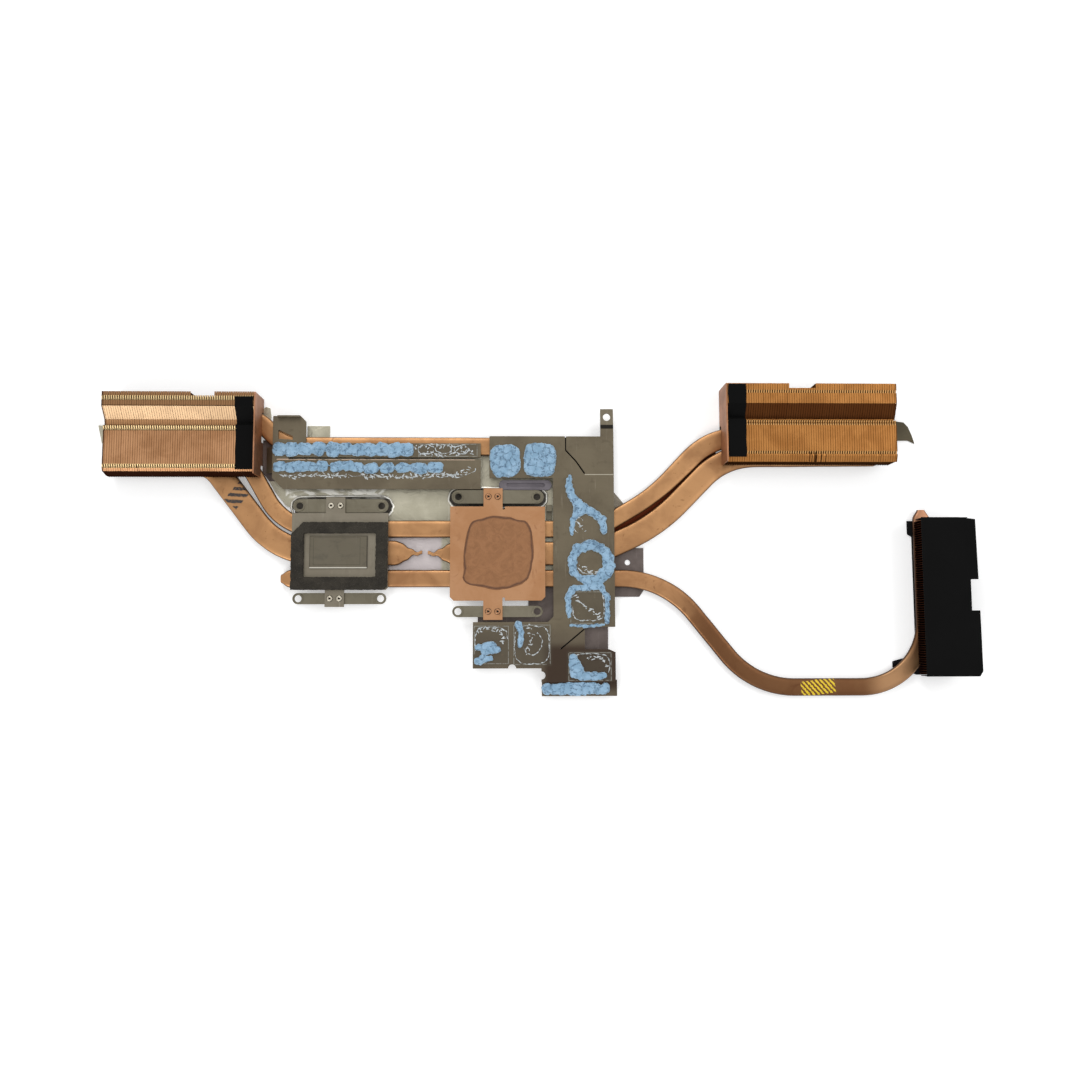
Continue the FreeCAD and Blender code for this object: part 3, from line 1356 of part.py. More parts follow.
memory_solids = [
    patch(moved(ring_points(6.8, 7.4, 5), -12.6, 34.4), putty_thick),
    patch(moved(ring_points(7.3, 8.0, 4), 2.5, 35.0), putty_thick),
    patch(
        moved(ring_points(10.3, 9.4, 2.3), 24.0, -9.6),
        putty_thick,
        moved(ring_points(6.4, 5.6, 2.3), 24.2, -9.4),
    ),
    patch(
        moved(ring_points(9.5, 8.8, 4), 22.7, -28.4),
        putty_thick,
        moved(ring_points(7.8, 7.0, 4), 22.9, -28.6),
    ),
    patch(
        [
            (15.4, 28.4),
            (14.0, 24.0),
            (15.2, 18.4),
            (18.0, 15.0),
            (15.6, 11.4),
            (15.0, 2.0),
            (16.6, 1.0),
            (17.2, 9.4),
            (20.6, 11.6),
            (23.6, 9.6),
            (27.6, 10.6),
            (28.6, 2.0),
            (30.4, 1.8),
            (31.4, 7.0),
            (29.4, 12.4),
            (25.6, 13.6),
            (21.8, 14.6),
            (19.6, 20.0),
            (17.4, 21.0),
        ],
        putty_thick,
    ),
    patch(
        [
            (-25.4, -45.0),
            (-22.4, -42.8),
            (-18.6, -44.4),
            (-15.4, -44.2),
            (-13.6, -49.0),
            (-16.6, -52.6),
            (-20.0, -50.0),
            (-24.4, -52.8),
        ],
        putty_thick,
    ),
    patch(
        [(-8.0, -36.2), (-2.4, -35.9), (-5.4, -39.0), (-5.2, -45.4), (-8.2, -46.0), (-8.0, -40.4)],
        putty_thick,
    ),
    patch(
        [
            (14.6, -49.6),
            (18.0, -49.4),
            (19.6, -53.0),
            (23.4, -56.2),
            (31.0, -56.2),
            (30.8, -59.8),
            (14.8, -59.6),
        ],
        putty_thick,
    ),
]
memory_putty = patches("memory_putty", memory_solids, 0, 0, plate_level)
rail_putty = patches(
    "rail_putty", [patch(scallops(3.8, 33.2, -65.8, -61.4, 8, 0.3), putty_thick)], 0, 0, pipe_top
)

paste = patches(
    "gpu_paste",
    [
        patch(
            [
                (-28.0, 7.6),
                (-24.2, 9.0),
                (-18.6, 10.4),
                (-12.0, 10.4),
                (-7.6, 8.8),
                (-2.0, 8.0),
                (0.0, -4.0),
                (-1.6, -14.0),
                (-3.4, -18.0),
                (-9.4, -20.4),
                (-16.0, -21.8),
                (-22.0, -20.4),
                (-31.0, -18.6),
                (-30.4, -12.0),
                (-30.6, -4.0),
            ],
            paste_thick,
        )
    ],
    0,
    0,
    cold_top,
)

document.recompute()

# Every object has to be sound before anything is written
faults = [item.Label for item in document.Objects if {"Invalid", "Error"} & set(item.State)]
for item in parts:
    if item.Shape.isNull() or not item.Shape.isValid() or not item.Shape.Solids:
        faults.append(item.Label)
if faults:
    raise RuntimeError("unsound: " + ", ".join(faults))

os.makedirs("parts", exist_ok=True)
for item in parts:
    item.Shape.exportStep("parts/%s.step" % item.Label)
    print("%-20s %3d solids  %8.1f mm3" % (item.Label, len(item.Shape.Solids), item.Shape.Volume))
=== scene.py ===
import math
import random

import bmesh
import bpy
from mathutils import Matrix, Vector, noise


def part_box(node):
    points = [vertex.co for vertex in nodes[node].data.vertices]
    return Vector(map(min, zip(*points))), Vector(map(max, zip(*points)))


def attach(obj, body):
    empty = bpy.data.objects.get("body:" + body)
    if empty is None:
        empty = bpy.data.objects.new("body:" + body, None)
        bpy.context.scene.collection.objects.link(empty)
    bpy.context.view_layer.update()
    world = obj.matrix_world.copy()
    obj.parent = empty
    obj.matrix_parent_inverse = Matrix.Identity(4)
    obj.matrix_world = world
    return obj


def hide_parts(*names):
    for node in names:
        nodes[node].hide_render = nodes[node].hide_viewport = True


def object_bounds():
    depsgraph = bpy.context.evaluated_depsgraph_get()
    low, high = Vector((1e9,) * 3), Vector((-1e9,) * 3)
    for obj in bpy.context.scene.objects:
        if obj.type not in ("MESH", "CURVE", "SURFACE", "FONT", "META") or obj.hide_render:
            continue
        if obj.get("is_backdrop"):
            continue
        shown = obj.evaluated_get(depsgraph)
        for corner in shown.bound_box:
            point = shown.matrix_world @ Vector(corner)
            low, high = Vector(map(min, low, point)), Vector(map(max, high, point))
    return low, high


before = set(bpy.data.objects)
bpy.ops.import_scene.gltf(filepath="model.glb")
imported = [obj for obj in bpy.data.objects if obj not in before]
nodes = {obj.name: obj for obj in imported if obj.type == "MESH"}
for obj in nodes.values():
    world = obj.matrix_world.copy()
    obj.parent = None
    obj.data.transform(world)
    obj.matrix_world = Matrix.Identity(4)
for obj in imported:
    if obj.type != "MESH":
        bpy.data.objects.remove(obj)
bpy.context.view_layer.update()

scene = bpy.context.scene
mm = 0.001
fullTurn = 6.2832
print("frame loaded:", len(nodes), "nodes")


# Node trees as plain arithmetic

class Wire:
    # one socket of a tree, shader or geometry
    def __init__(self, graph, socket):
        self.graph = graph
        self.socket = socket

    def math(self, operation, *others):
        return self.graph.math(operation, self, *others)

    def __add__(self, other):
        return self.math("ADD", other)

    def __sub__(self, other):
        return self.math("SUBTRACT", other)

    def __mul__(self, other):
        return self.math("MULTIPLY", other)

    def __truediv__(self, other):
        return self.math("DIVIDE", other)

    def __rsub__(self, other):
        return self.graph.math("SUBTRACT", other, self)

    __radd__ = __add__
    __rmul__ = __mul__


class Graph:
    def __init__(self, tree):
        self.tree = tree

    def node(self, kind, inputs=None, output=0, **settings):
        # any node: its settings first, then the values or links of its sockets
        made = self.tree.nodes.new(kind)
        for key, value in settings.items():
            setattr(made, key, value)
        for key, value in (inputs or {}).items():
            if isinstance(value, Wire):
                self.tree.links.new(value.socket, made.inputs[key])
            else:
                made.inputs[key].default_value = value
        return Wire(self, made.outputs[output]) if len(made.outputs) else made

    def math(self, operation, *values):
        return self.node("ShaderNodeMath", dict(enumerate(values)), operation=operation)

    def vectorMath(self, operation, inputs):
        return self.node("ShaderNodeVectorMath", inputs, operation=operation)

    def step(self, value, low, high, start=0.0, end=1.0):
        # a smooth step from start to end as the value goes from low to high
        inputs = dict(enumerate((value, low, high, start, end)))
        return self.node("ShaderNodeMapRange", inputs, interpolation_type="SMOOTHSTEP")

    def parts(self, vector):
        split = self.node("ShaderNodeSeparateXYZ", {0: vector})
        return [Wire(self, socket) for socket in split.socket.node.outputs]

    def vector(self, *parts):
        return self.node("ShaderNodeCombineXYZ", dict(enumerate(parts)))

    # shader side
    def place(self, stretch=(1, 1, 1), turn=0.0):
        spot = self.node("ShaderNodeTexCoord", output="Object")
        return self.node("ShaderNodeMapping", {0: spot, 2: (0, 0, turn), 3: stretch})

    def spot(self):
        return self.parts(self.node("ShaderNodeTexCoord", output="Object"))

    def facing(self):
        return self.parts(self.node("ShaderNodeNewGeometry", output="Normal"))

    def cloud(self, grain, detail=4.0, rough=0.55, stretch=(1, 1, 1), turn=0.0, warp=0.0):
        # noise whose patches are about grain millimetres across
        inputs = {"Vector": self.place(stretch, turn), "Scale": 1.0 / (grain * mm)}
        inputs.update({"Detail": detail, "Roughness": rough, "Distortion": warp})
        return self.node("ShaderNodeTexNoise", inputs)

    def scratches(self, grain, stretch, turn):
        # long thin marks in one direction
        return self.step(self.cloud(grain, 6.0, 0.7, stretch, turn), 0.60, 0.70)

    def blend(self, colour, *coats):
        # coats over a colour, each with how much of it shows; a colour is a socket or a tuple
        for share, shade in coats:
            under, over = [tint(*c) if isinstance(c, tuple) else c for c in (colour, shade)]
            colour = self.node("ShaderNodeMix", {0: share, 6: under, 7: over}, 2, data_type="RGBA")
        return colour

    def near(self, value, centre, half, soft):
        # 1 within half of the centre, falling to 0 over soft
        return self.step((value - centre).math("ABSOLUTE"), half, half + soft, 1.0, 0.0)

    def inBox(self, x0, x1, y0, y1, soft=0.1):
        # 1 inside a rectangle given in millimetres, seen from above
        x, y, z = self.spot()
        across = self.near(x, (x0 + x1) / 2 * mm, (x1 - x0) / 2 * mm, soft * mm)
        return across * self.near(y, (y0 + y1) / 2 * mm, (y1 - y0) / 2 * mm, soft * mm)

    def frameLine(self, x0, x1, y0, y1, half, soft=0.1):
        # 1 along the outline of a rectangle
        outer = self.inBox(x0 - half, x1 + half, y0 - half, y1 + half, soft)
        return outer - self.inBox(x0 + half, x1 - half, y0 + half, y1 - half, soft) * outer

    def boxes(self, *zones):
        # coats inside boxes: x from, x to, y from, y to, width of the soft border, share, colour
        return [(self.inBox(*box) * share, shade) for *box, share, shade in zones]

    # geometry side
    def here(self):
        return self.node("GeometryNodeInputPosition")

    def moved(self, shape, key, value):
        return self.node("GeometryNodeSetPosition", {"Geometry": shape, key: value})

    def smooth(self, shape):
        return self.node("GeometryNodeSetShadeSmooth", {"Geometry": shape, "Shade Smooth": True})

    def circle(self, sides, radius):
        inputs = {"Resolution": sides, "Radius": radius}
        return self.node("GeometryNodeCurvePrimitiveCircle", inputs)

    def bead(self, line, sides, radius, **more):
        # a round bead along a line
        inputs = {"Curve": line, "Profile Curve": self.circle(sides, radius), **more}
        return self.smooth(self.node("GeometryNodeCurveToMesh", inputs))

    def copies(self, points, shape, **more):
        inputs = {"Points": points, "Instance": shape, **more}
        return self.node("GeometryNodeInstanceOnPoints", inputs)

    def wild(self, low, high, seed):
        # a random vector for each point
        inputs = {0: low, 1: high, "Seed": seed}
        return self.node("FunctionNodeRandomValue", inputs, data_type="FLOAT_VECTOR")

    def capture(self, shape, *fields):
        # keeps fields on the points of a shape through later steps
        made = self.tree.nodes.new("GeometryNodeCaptureAttribute")
        made.domain = "POINT"
        for i, field in enumerate(fields):
            made.capture_items.new("VECTOR" if field.socket.type == "VECTOR" else "FLOAT", "kept%d" % i)
        for i, wire in enumerate((shape, *fields)):
            self.tree.links.new(wire.socket, made.inputs[i])
        return [Wire(self, made.outputs[i]) for i in range(len(fields) + 1)]


def tint(*levels):
    # a screen's red, green and blue as the shader's linear colour
    levels = [level / 255.0 for level in levels]
    return *[c / 12.92 if c <= 0.04045 else ((c + 0.055) / 1.055) ** 2.4 for c in levels], 1.0


def lighter(shade, by):
    return tuple(min(255, level + by) for level in shade)


def clearGraph(owner):
    owner.use_nodes = True
    owner.node_tree.nodes.clear()
    return Graph(owner.node_tree)


# Materials

def makeMaterial(name, build):
    material = bpy.data.materials.new(name)
    graph = clearGraph(material)
    look = build(graph)
    height, strength, reach = look.pop("bump")
    bump = {"Strength": strength, "Distance": reach * mm, "Height": height}
    look["Normal"] = graph.node("ShaderNodeBump", bump)
    surface = graph.node("ShaderNodeBsdfPrincipled", look)
    graph.node("ShaderNodeOutputMaterial", {"Surface": surface})
    return material


# Paint marks on two pipes: plain slanted hatching
marks = {
    "yellow": {"tint": (222, 190, 30), "at": (121.5, -63.2), "half": (7.2, 3.0), "turn": 0.12, "gap": 1.9},
    "black": {"tint": (29, 29, 32), "at": (-127.5, 19.5), "half": (5.0, 3.2), "turn": 0.9, "gap": 3.4},
}


def hatching(graph, mark):
    # strokes inside a soft-edged patch, ragged where the paint ran dry
    x, y, z = graph.spot()
    cosine, sine = math.cos(mark["turn"]), math.sin(mark["turn"])
    fromX, fromY = x - mark["at"][0] * mm, y - mark["at"][1] * mm
    ways = fromX * cosine + fromY * sine, fromY * cosine - fromX * sine
    ragged = graph.cloud(1.1, 4.0, 0.7) * 1.6 * mm
    shown = graph.step(graph.cloud(0.5, 4.0, 0.8), 0.36, 0.46) * graph.step(z, 2.4 * mm, 3.0 * mm)
    for way, half in zip(ways, mark["half"]):
        shown = shown * graph.near(way + ragged, 0.8 * mm, half * mm, 0.3 * mm)
    slant = (ways[0] + ways[1] * 0.7 + ragged) / (mark["gap"] * mm)
    return shown * graph.step((slant * 6.283).math("SINE"), -0.1, 0.15)


# The side pipe is browner beyond the plates, and bright again in its last bend and at its end
sidePipeZones = [
    (76, 215, -100, 20, 22, 0.84, (88, 55, 31)),
    (152, 166, -68, -54, 12, 0.8, (164, 126, 90)),
    (160, 178, 8, 16, 4, 0.8, (176, 128, 98)),
]
copperMetal = 0.85


def copperLook(clean, worn, dark, rough, stain, mark=None, zones=(), sides=0.85):
    # tarnished copper: clean metal, handled brown and dark stains, with painted shade on the sides
    def build(graph):
        wide = graph.cloud(14.0, 5.0, 0.6, warp=0.4)
        fine = graph.cloud(1.6, 6.0, 0.7)
        spots = graph.cloud(4.5, 3.0, 0.5, warp=1.2)
        lines = graph.scratches(0.9, (0.06, 1.0, 1.0), 0.25)
        cross = graph.scratches(0.7, (1.0, 0.05, 1.0), -0.4)
        colour = graph.blend(
            clean,
            (graph.step(wide, 0.36, 0.66), worn),
            (graph.step(spots, 0.62, 0.76) * stain, dark),
            (graph.step(graph.cloud(1.0, 2.0, 0.5), 0.72, 0.77) * 0.7, dark),
            ((lines + cross) * 0.12, lighter(clean, 18)),
            *graph.boxes(*zones),
            # painted shade: faces that turn away from the top get darker
            (graph.step(graph.facing()[2], 0.88, 0.30) * sides, tuple(level * 0.6 for level in dark)),
        )
        painted = hatching(graph, mark) if mark else 0.0
        return {
            "Base Color": graph.blend(colour, (painted, mark["tint"])) if mark else colour,
            "Metallic": (1.0 - painted) * copperMetal,
            "Roughness": rough + wide * 0.16 + fine * 0.10 - lines * 0.06,
            "bump": (fine * 0.7 + lines * 0.3 + wide, 0.22, 0.06),
        }

    return build


# The stacks' colours: clean and worn copper, and the colour of the painted shade low in the stack and on
# the webs; bands of painted light and shade across the top, each y from, y to, share and colour; painted
# shade at the ends; rows of painted shade where the folds' ends stand as teeth, with painted highlights on
# the teeth, and their pitch
finTints = {
    "left": {
        "copper": [(184, 138, 100), (158, 115, 80), (46, 24, 15)],
        "span": (-183, -118),
        "lightAndShadeBands": [
            (60.2, 62.3, 0.9, (135, 101, 70)),
            (56.2, 58.3, 0.9, (135, 101, 70)),
            (55.8, 56.1, 0.8, (84, 52, 30)),
            (50.8, 55.7, 0.9, (178, 150, 118)),
            (48.3, 50.6, 0.9, (176, 132, 92)),
            (58.4, 60.1, 0.9, (220, 190, 140)),
            (46.0, 47.8, 0.9, (222, 192, 142)),
            (29.8, 31.5, 0.85, (214, 182, 132)),
        ],
        "ends": [(-183, -181.7, 27.0, 62.3, 0.15, 0.85, (34, 18, 14))],
        "rows": [(58.4, 59.8), (46.2, 47.6), (30.0, 31.2)],
        "pitch": 0.98,
        "toothHighlight": (226, 198, 148),
    },
    "right": {
        "copper": [(170, 117, 64), (148, 99, 52), (42, 20, 11)],
        "span": (82, 156),
        "lightAndShadeBands": [(51.7, 57.8, 0.92, (70, 36, 16)), (50.1, 50.9, 0.8, (206, 156, 96))],
        "ends": [(155.0, 156, 32.0, 67.0, 0.15, 0.7, (40, 18, 10))],
        "rows": [(62.4, 63.6), (50.0, 50.9), (48.7, 49.6), (36.2, 37.4)],
        "pitch": 1.03,
        "toothHighlight": (214, 164, 104),
    },
    # the side stack's fins lie under the film: the same copper painted darker, as painted shade
    "side": {"copper": [(120, 76, 54), (84, 50, 34), (24, 10, 8)], "lightAndShadeBands": [], "ends": [], "rows": []},
}


def finLook(stack):
    # folded copper sheet: every fin has its own tone, with painted light and shade laid over it
    def build(graph):
        clean, worn, dark = stack["copper"]
        x, y, z = graph.spot()
        own = graph.cloud(1.0, 1.0, 0.3, (1.0, 0.02, 0.02))
        wide = graph.cloud(11.0, 4.0, 0.6, warp=0.5)
        fine = graph.cloud(0.8, 5.0, 0.7)
        teeth = []
        # each row: a band of painted shade, with painted highlights on the folds' ends as teeth
        for y0, y1 in stack["rows"]:
            toothHighlight = graph.step((x * (fullTurn / (stack["pitch"] * mm))).math("SINE"), -0.3, 0.3)
            row = graph.near(y, (y0 + y1) / 2 * mm, (y1 - y0) / 2 * mm, 0.15 * mm)
            teeth += [(row * 0.7, (62, 32, 14)), (row * toothHighlight * 0.8, stack["toothHighlight"])]
        # painted shade on the webs, and on the open outlet at the front
        sideways, ahead, upward = graph.facing()
        web = graph.step(sideways.math("ABSOLUTE"), 0.6, 0.9)
        outlet = graph.step(ahead * -1.0, 0.75, 0.95)
        colour = graph.blend(
            clean,
            (graph.step(wide, 0.36, 0.68), worn),
            (graph.step(own, 0.4, 0.6) * 0.25, worn),
            *graph.boxes(*[(*stack["span"], y0, y1, 0.15, *band) for y0, y1, *band in stack["lightAndShadeBands"]]),
            *graph.boxes(*stack["ends"]),
            *teeth,
            # painted shade low in the stack
            (graph.step(z, 4.0 * mm, 10.0 * mm, 1.0, 0.0) * 0.8, dark),
            (web * 0.8, dark),
            (outlet * 0.97, (32, 8, 5)),
        )
        return {
            "Base Color": colour,
            "Metallic": (1.0 - outlet) * (1.0 - web) * copperMetal,
            "Specular IOR Level": 0.0,
            "Roughness": 0.34 + wide * 0.18 + fine * 0.08 + outlet * 0.4,
            "bump": (fine + wide, 0.25, 0.05),
        }

    return build


def platedLook(light, dark, stain, rough, metal=0.8, stains=0.6, more=None):
    # thin plated sheet: cloudy, with rubbed lines, brown stains and what lies over them
    def build(graph):
        wide = graph.cloud(22.0, 5.0, 0.6, warp=0.6)
        fine = graph.cloud(0.7, 4.0, 0.7)
        brushed = graph.cloud(0.6, 4.0, 0.6, (0.05, 1.0, 1.0), 0.1)
        spots = graph.cloud(6.0, 4.0, 0.6, warp=1.5)
        colour = graph.blend(
            light,
            (graph.step(wide, 0.34, 0.68), dark),
            (graph.step(spots, 0.56, 0.74) * stains, stain),
            (brushed * 0.18, lighter(light, 25)),
            (graph.scratches(1.1, (1.0, 0.05, 1.0), 0.7) * 0.22, lighter(light, 55)),
            *(more(graph) if more else ()),
        )
        return {
            "Base Color": colour,
            "Metallic": metal,
            "Roughness": rough + wide * 0.14 + brushed * 0.10,
            "bump": (fine * 0.5 + brushed + wide * 2.0, 0.20, 0.05),
        }

    return build


# The memory plate: its darker front half, the prints that lifted pads left, its tab's end, the painted
# shadow under its step, its pressed line and the worn edge along its slot
pressSizes = {
    "darkFrom": (-34.0, -44.0),
    "darkest": (6.0, 40.0, -62.0, -47.0, 4.0, 0.92, (56, 43, 34)),
    "prints": [
        (-25.6, -11.4, -52.6, -37.0),
        (-8.8, 6.4, -53.0, -36.6),
        (14.6, 32.4, -59.8, -48.4),
        (15.6, 30.2, -35.6, -22.4),
        (-50.0, -25.0, 36.6, 41.6),
    ],
    "tabEnd": (28.4, 34.8, 50.7, 58.0, 0.3, 0.3, (136, 129, 112)),
    "line": (21.9, 35.0, 28.5, 28.7, 0.12, 0.8, (176, 170, 154)),
    "slotEdge": (-111.0, -26.0, 34.85, 35.15, 0.15),
    # painted shadow under the step down to the tab
    "step": (28.4, 34.8, 48.9, 50.4, 0.2, 0.95, (20, 18, 16)),
}


def pressedCoats(graph):
    size = pressSizes
    rear, front = size["darkFrom"]
    ragged = graph.cloud(2.2, 4.0, 0.7)
    prints = []
    for box in size["prints"]:
        stamp = graph.inBox(*box, 1.4) * graph.step(ragged, 0.30, 0.44)
        rim = graph.frameLine(*box, 0.12, 0.3) * graph.step(ragged, 0.40, 0.52)
        prints += [(stamp * 0.5, (78, 72, 61)), (rim * 0.55, (170, 172, 166))]
    worn = graph.inBox(*size["slotEdge"]) * graph.step(graph.cloud(3.0, 4.0, 0.7), 0.38, 0.48)
    return [
        (graph.step(graph.spot()[1], rear * mm, front * mm) * 0.45, (76, 66, 56)),
        *graph.boxes(size["darkest"]),
        *prints,
        *graph.boxes(size["tabEnd"], size["line"]),
        (worn * 0.8, (198, 172, 152)),
        # painted shadow under the tab's step
        *graph.boxes(size["step"]),
    ]


# The chip face's two contours, and its front edge that catches the light
chipSizes = {
    "outer": (-95.9, -71.7, -12.0, 1.6),
    "inner": (-94.3, -74.6, -10.6, 0.9),
    "half": 0.16,
    "shine": (-95.9, -71.7, -12.05, -11.7, 0.12, 0.7, (214, 210, 198)),
}


def chipCoats(graph):
    outer, half = chipSizes["outer"], chipSizes["half"]
    smudge = graph.cloud(5.0, 5.0, 0.65, (1.0, 1.4, 1.0), 0.5, warp=0.6)
    inside = graph.inBox(*outer, 0.4)
    return [
        (inside * 0.75, (90, 84, 71)),
        (inside * graph.step(smudge, 0.46, 0.74) * 0.45, (74, 71, 63)),
        (graph.frameLine(*outer, half) * 0.75, (62, 58, 50)),
        (graph.frameLine(*chipSizes["inner"], half * 0.7) * 0.6, (72, 68, 59)),
        *graph.boxes(chipSizes["shine"]),
    ]


# Round the two rear arms, each x, y and half length, the bright sheet dips into a gap that gets painted
# shade. Along the first arm it gets painted glare for its crumpled surface; it is paler between the pipes'
# tips, and has painted shade in its right corner.
gapSizes = {
    "arms": [(-83.3, 14.8, 17.5), (-15.9, 18.8, 16.95)],
    "reach": 3.9,
    "soft": 0.3,
    "glare": (-107, -64, 19.4, 23.4, 1.2),
    "tips": (-63, -41, -12.0, 1.0, 1.5, 0.7, (196, 186, 192)),
    "corner": (34.6, 44.0, 8.0, 30.0, 1.0, 0.85, (108, 98, 86)),
}


def gapCoats(graph):
    size = gapSizes
    x, y, z = graph.spot()
    near, beyond = size["reach"] * mm, (size["reach"] + size["soft"]) * mm
    dark = 0.0
    for armX, armY, half in size["arms"]:
        past = ((x - armX * mm).math("ABSOLUTE") - half * mm).math("MAXIMUM", 0.0)
        aside = y - armY * mm
        far = (past * past + aside * aside).math("SQRT")
        dark = dark + graph.step(far, near, beyond, 1.0, 0.0)
    crumple = graph.step(graph.cloud(4.0, 4.0, 0.6, (0.5, 1.0, 1.0), warp=1.2), 0.44, 0.56)
    return [
        # painted shade in the gap round each arm
        (dark * 0.9, (40, 34, 34)),
        # painted glare on the crumpled sheet
        (graph.inBox(*size["glare"]) * crumple * 0.85, (240, 238, 230)),
        # the paler patch between the tips, and painted shade in the right corner
        *graph.boxes(size["tips"], size["corner"]),
    ]


def brightSheetLook(graph):
    plated = platedLook((182, 177, 158), (158, 153, 134), (122, 114, 98), 0.34, 0.75, 0.3, gapCoats)
    return {**plated(graph), "bump": (graph.cloud(7.0, 3.0, 0.6, warp=1.0), 0.5, 0.9)}


def rivetCoats(graph):
    # copper on the second plate; painted shade in the pressed dimple and at the foot
    x, y, z = graph.spot()
    second = graph.step(x, -50.0 * mm, -49.0 * mm)
    crown = graph.step(z, 5.16 * mm, 5.38 * mm)
    return [(second * 0.92, (156, 108, 72)), (1.0 - crown, (34, 28, 22))]


def puttyLook(graph):
    # pale blue putty: chalky rims, light crumbs that are chalk and painted highlight, deeper hollows,
    # cracks and smears of the plate's dirt
    wide = graph.cloud(5.0, 4.0, 0.6, warp=0.6)
    crumb = graph.cloud(0.9, 6.0, 0.75)
    dirt = graph.cloud(1.8, 5.0, 0.7, warp=1.6)
    warp = graph.vectorMath("SCALE", {0: graph.vector(crumb, wide, dirt), "Scale": 4.4 * mm})
    bent = graph.vectorMath("ADD", {0: graph.place(), 1: warp})
    cells = {"Vector": bent, "Scale": 1.0 / (3.4 * mm)}
    crack = graph.node("ShaderNodeTexVoronoi", cells, feature="DISTANCE_TO_EDGE")
    shown = graph.step(dirt, 0.45, 0.56) * graph.step(crack, 0.10, 0.02)
    colour = graph.blend(
        (124, 158, 184),
        (graph.step(wide, 0.35, 0.65), (144, 177, 203)),
        (graph.step(graph.facing()[2], 0.85, 0.5) * 0.5, (186, 208, 222)),
        # light crumbs: chalky putty, and painted highlights
        (graph.step(crumb, 0.56, 0.74) * 0.6, (196, 217, 232)),
        (graph.step(dirt, 0.62, 0.72) * 0.6, (74, 96, 118)),
        (shown * 0.75, (58, 84, 112)),
    )
    bump = crumb + wide * 0.5 - shown * 0.8
    return {"Base Color": colour, "Roughness": 0.62 + crumb * 0.2, "bump": (bump, 0.6, 0.3)}


def smearLook(graph):
    # thin dried putty, chalky and half grey with the plate under it
    crumb = graph.cloud(0.7, 5.0, 0.75)
    colour = graph.blend((150, 156, 156), (graph.step(crumb, 0.35, 0.65), (206, 212, 216)))
    return {"Base Color": colour, "Roughness": 0.6, "bump": (crumb, 0.5, 0.2)}


def pasteLook(graph):
    # used paste: brown film, darker where it was squeezed out at its rim
    rim = graph.node("ShaderNodeAttribute", output="Fac", attribute_name="rim")
    wide = graph.cloud(6.0, 5.0, 0.65, warp=2.2)
    vein = graph.cloud(2.6, 4.0, 0.6, warp=3.0)
    crumb = graph.cloud(0.6, 5.0, 0.7)
    colour = graph.blend(
        (145, 99, 61),
        (graph.step(wide, 0.32, 0.68), (131, 88, 52)),
        (graph.step(vein, 0.58, 0.64) * 0.4, (120, 78, 46)),
        (rim * (0.75 + crumb * 0.5), (70, 38, 18)),
    )
    bump = vein + crumb * 0.4
    return {"Base Color": colour, "Roughness": 0.58 + wide * 0.2, "bump": (bump, 0.5, 0.2)}


def foamLook(graph):
    # black open-cell foam, dusty
    cells = graph.node("ShaderNodeTexVoronoi", {"Vector": graph.place(), "Scale": 1.0 / (0.55 * mm)})
    dust = graph.cloud(0.5, 4.0, 0.8)
    colour = graph.blend(
        (44, 41, 36),
        (graph.step(graph.cloud(7.0, 3.0, 0.6), 0.3, 0.7), (58, 54, 47)),
        (graph.step(dust, 0.58, 0.70) * 0.6, (112, 106, 102)),
        (graph.step(cells, 0.35, 0.05) * 0.6, (16, 14, 14)),
    )
    look = {"Base Color": colour, "Roughness": 0.92, "Specular IOR Level": 0.2}
    return {**look, "bump": (cells + dust, 0.8, 0.3)}


def filmLook(base, sheen):
    # black film with soft waves and fine dust
    def build(graph):
        wave = graph.cloud(16.0, 3.0, 0.5, warp=0.6)
        dust = graph.cloud(0.7, 5.0, 0.8)
        return {
            "Base Color": graph.blend(base, (graph.step(dust, 0.64, 0.80) * 0.2, (52, 52, 54))),
            "Roughness": sheen + wave * 0.2,
            "Specular IOR Level": 0.06,
            "bump": (wave * 3.0 + dust * 0.2, 0.3, 0.15),
        }

    return build


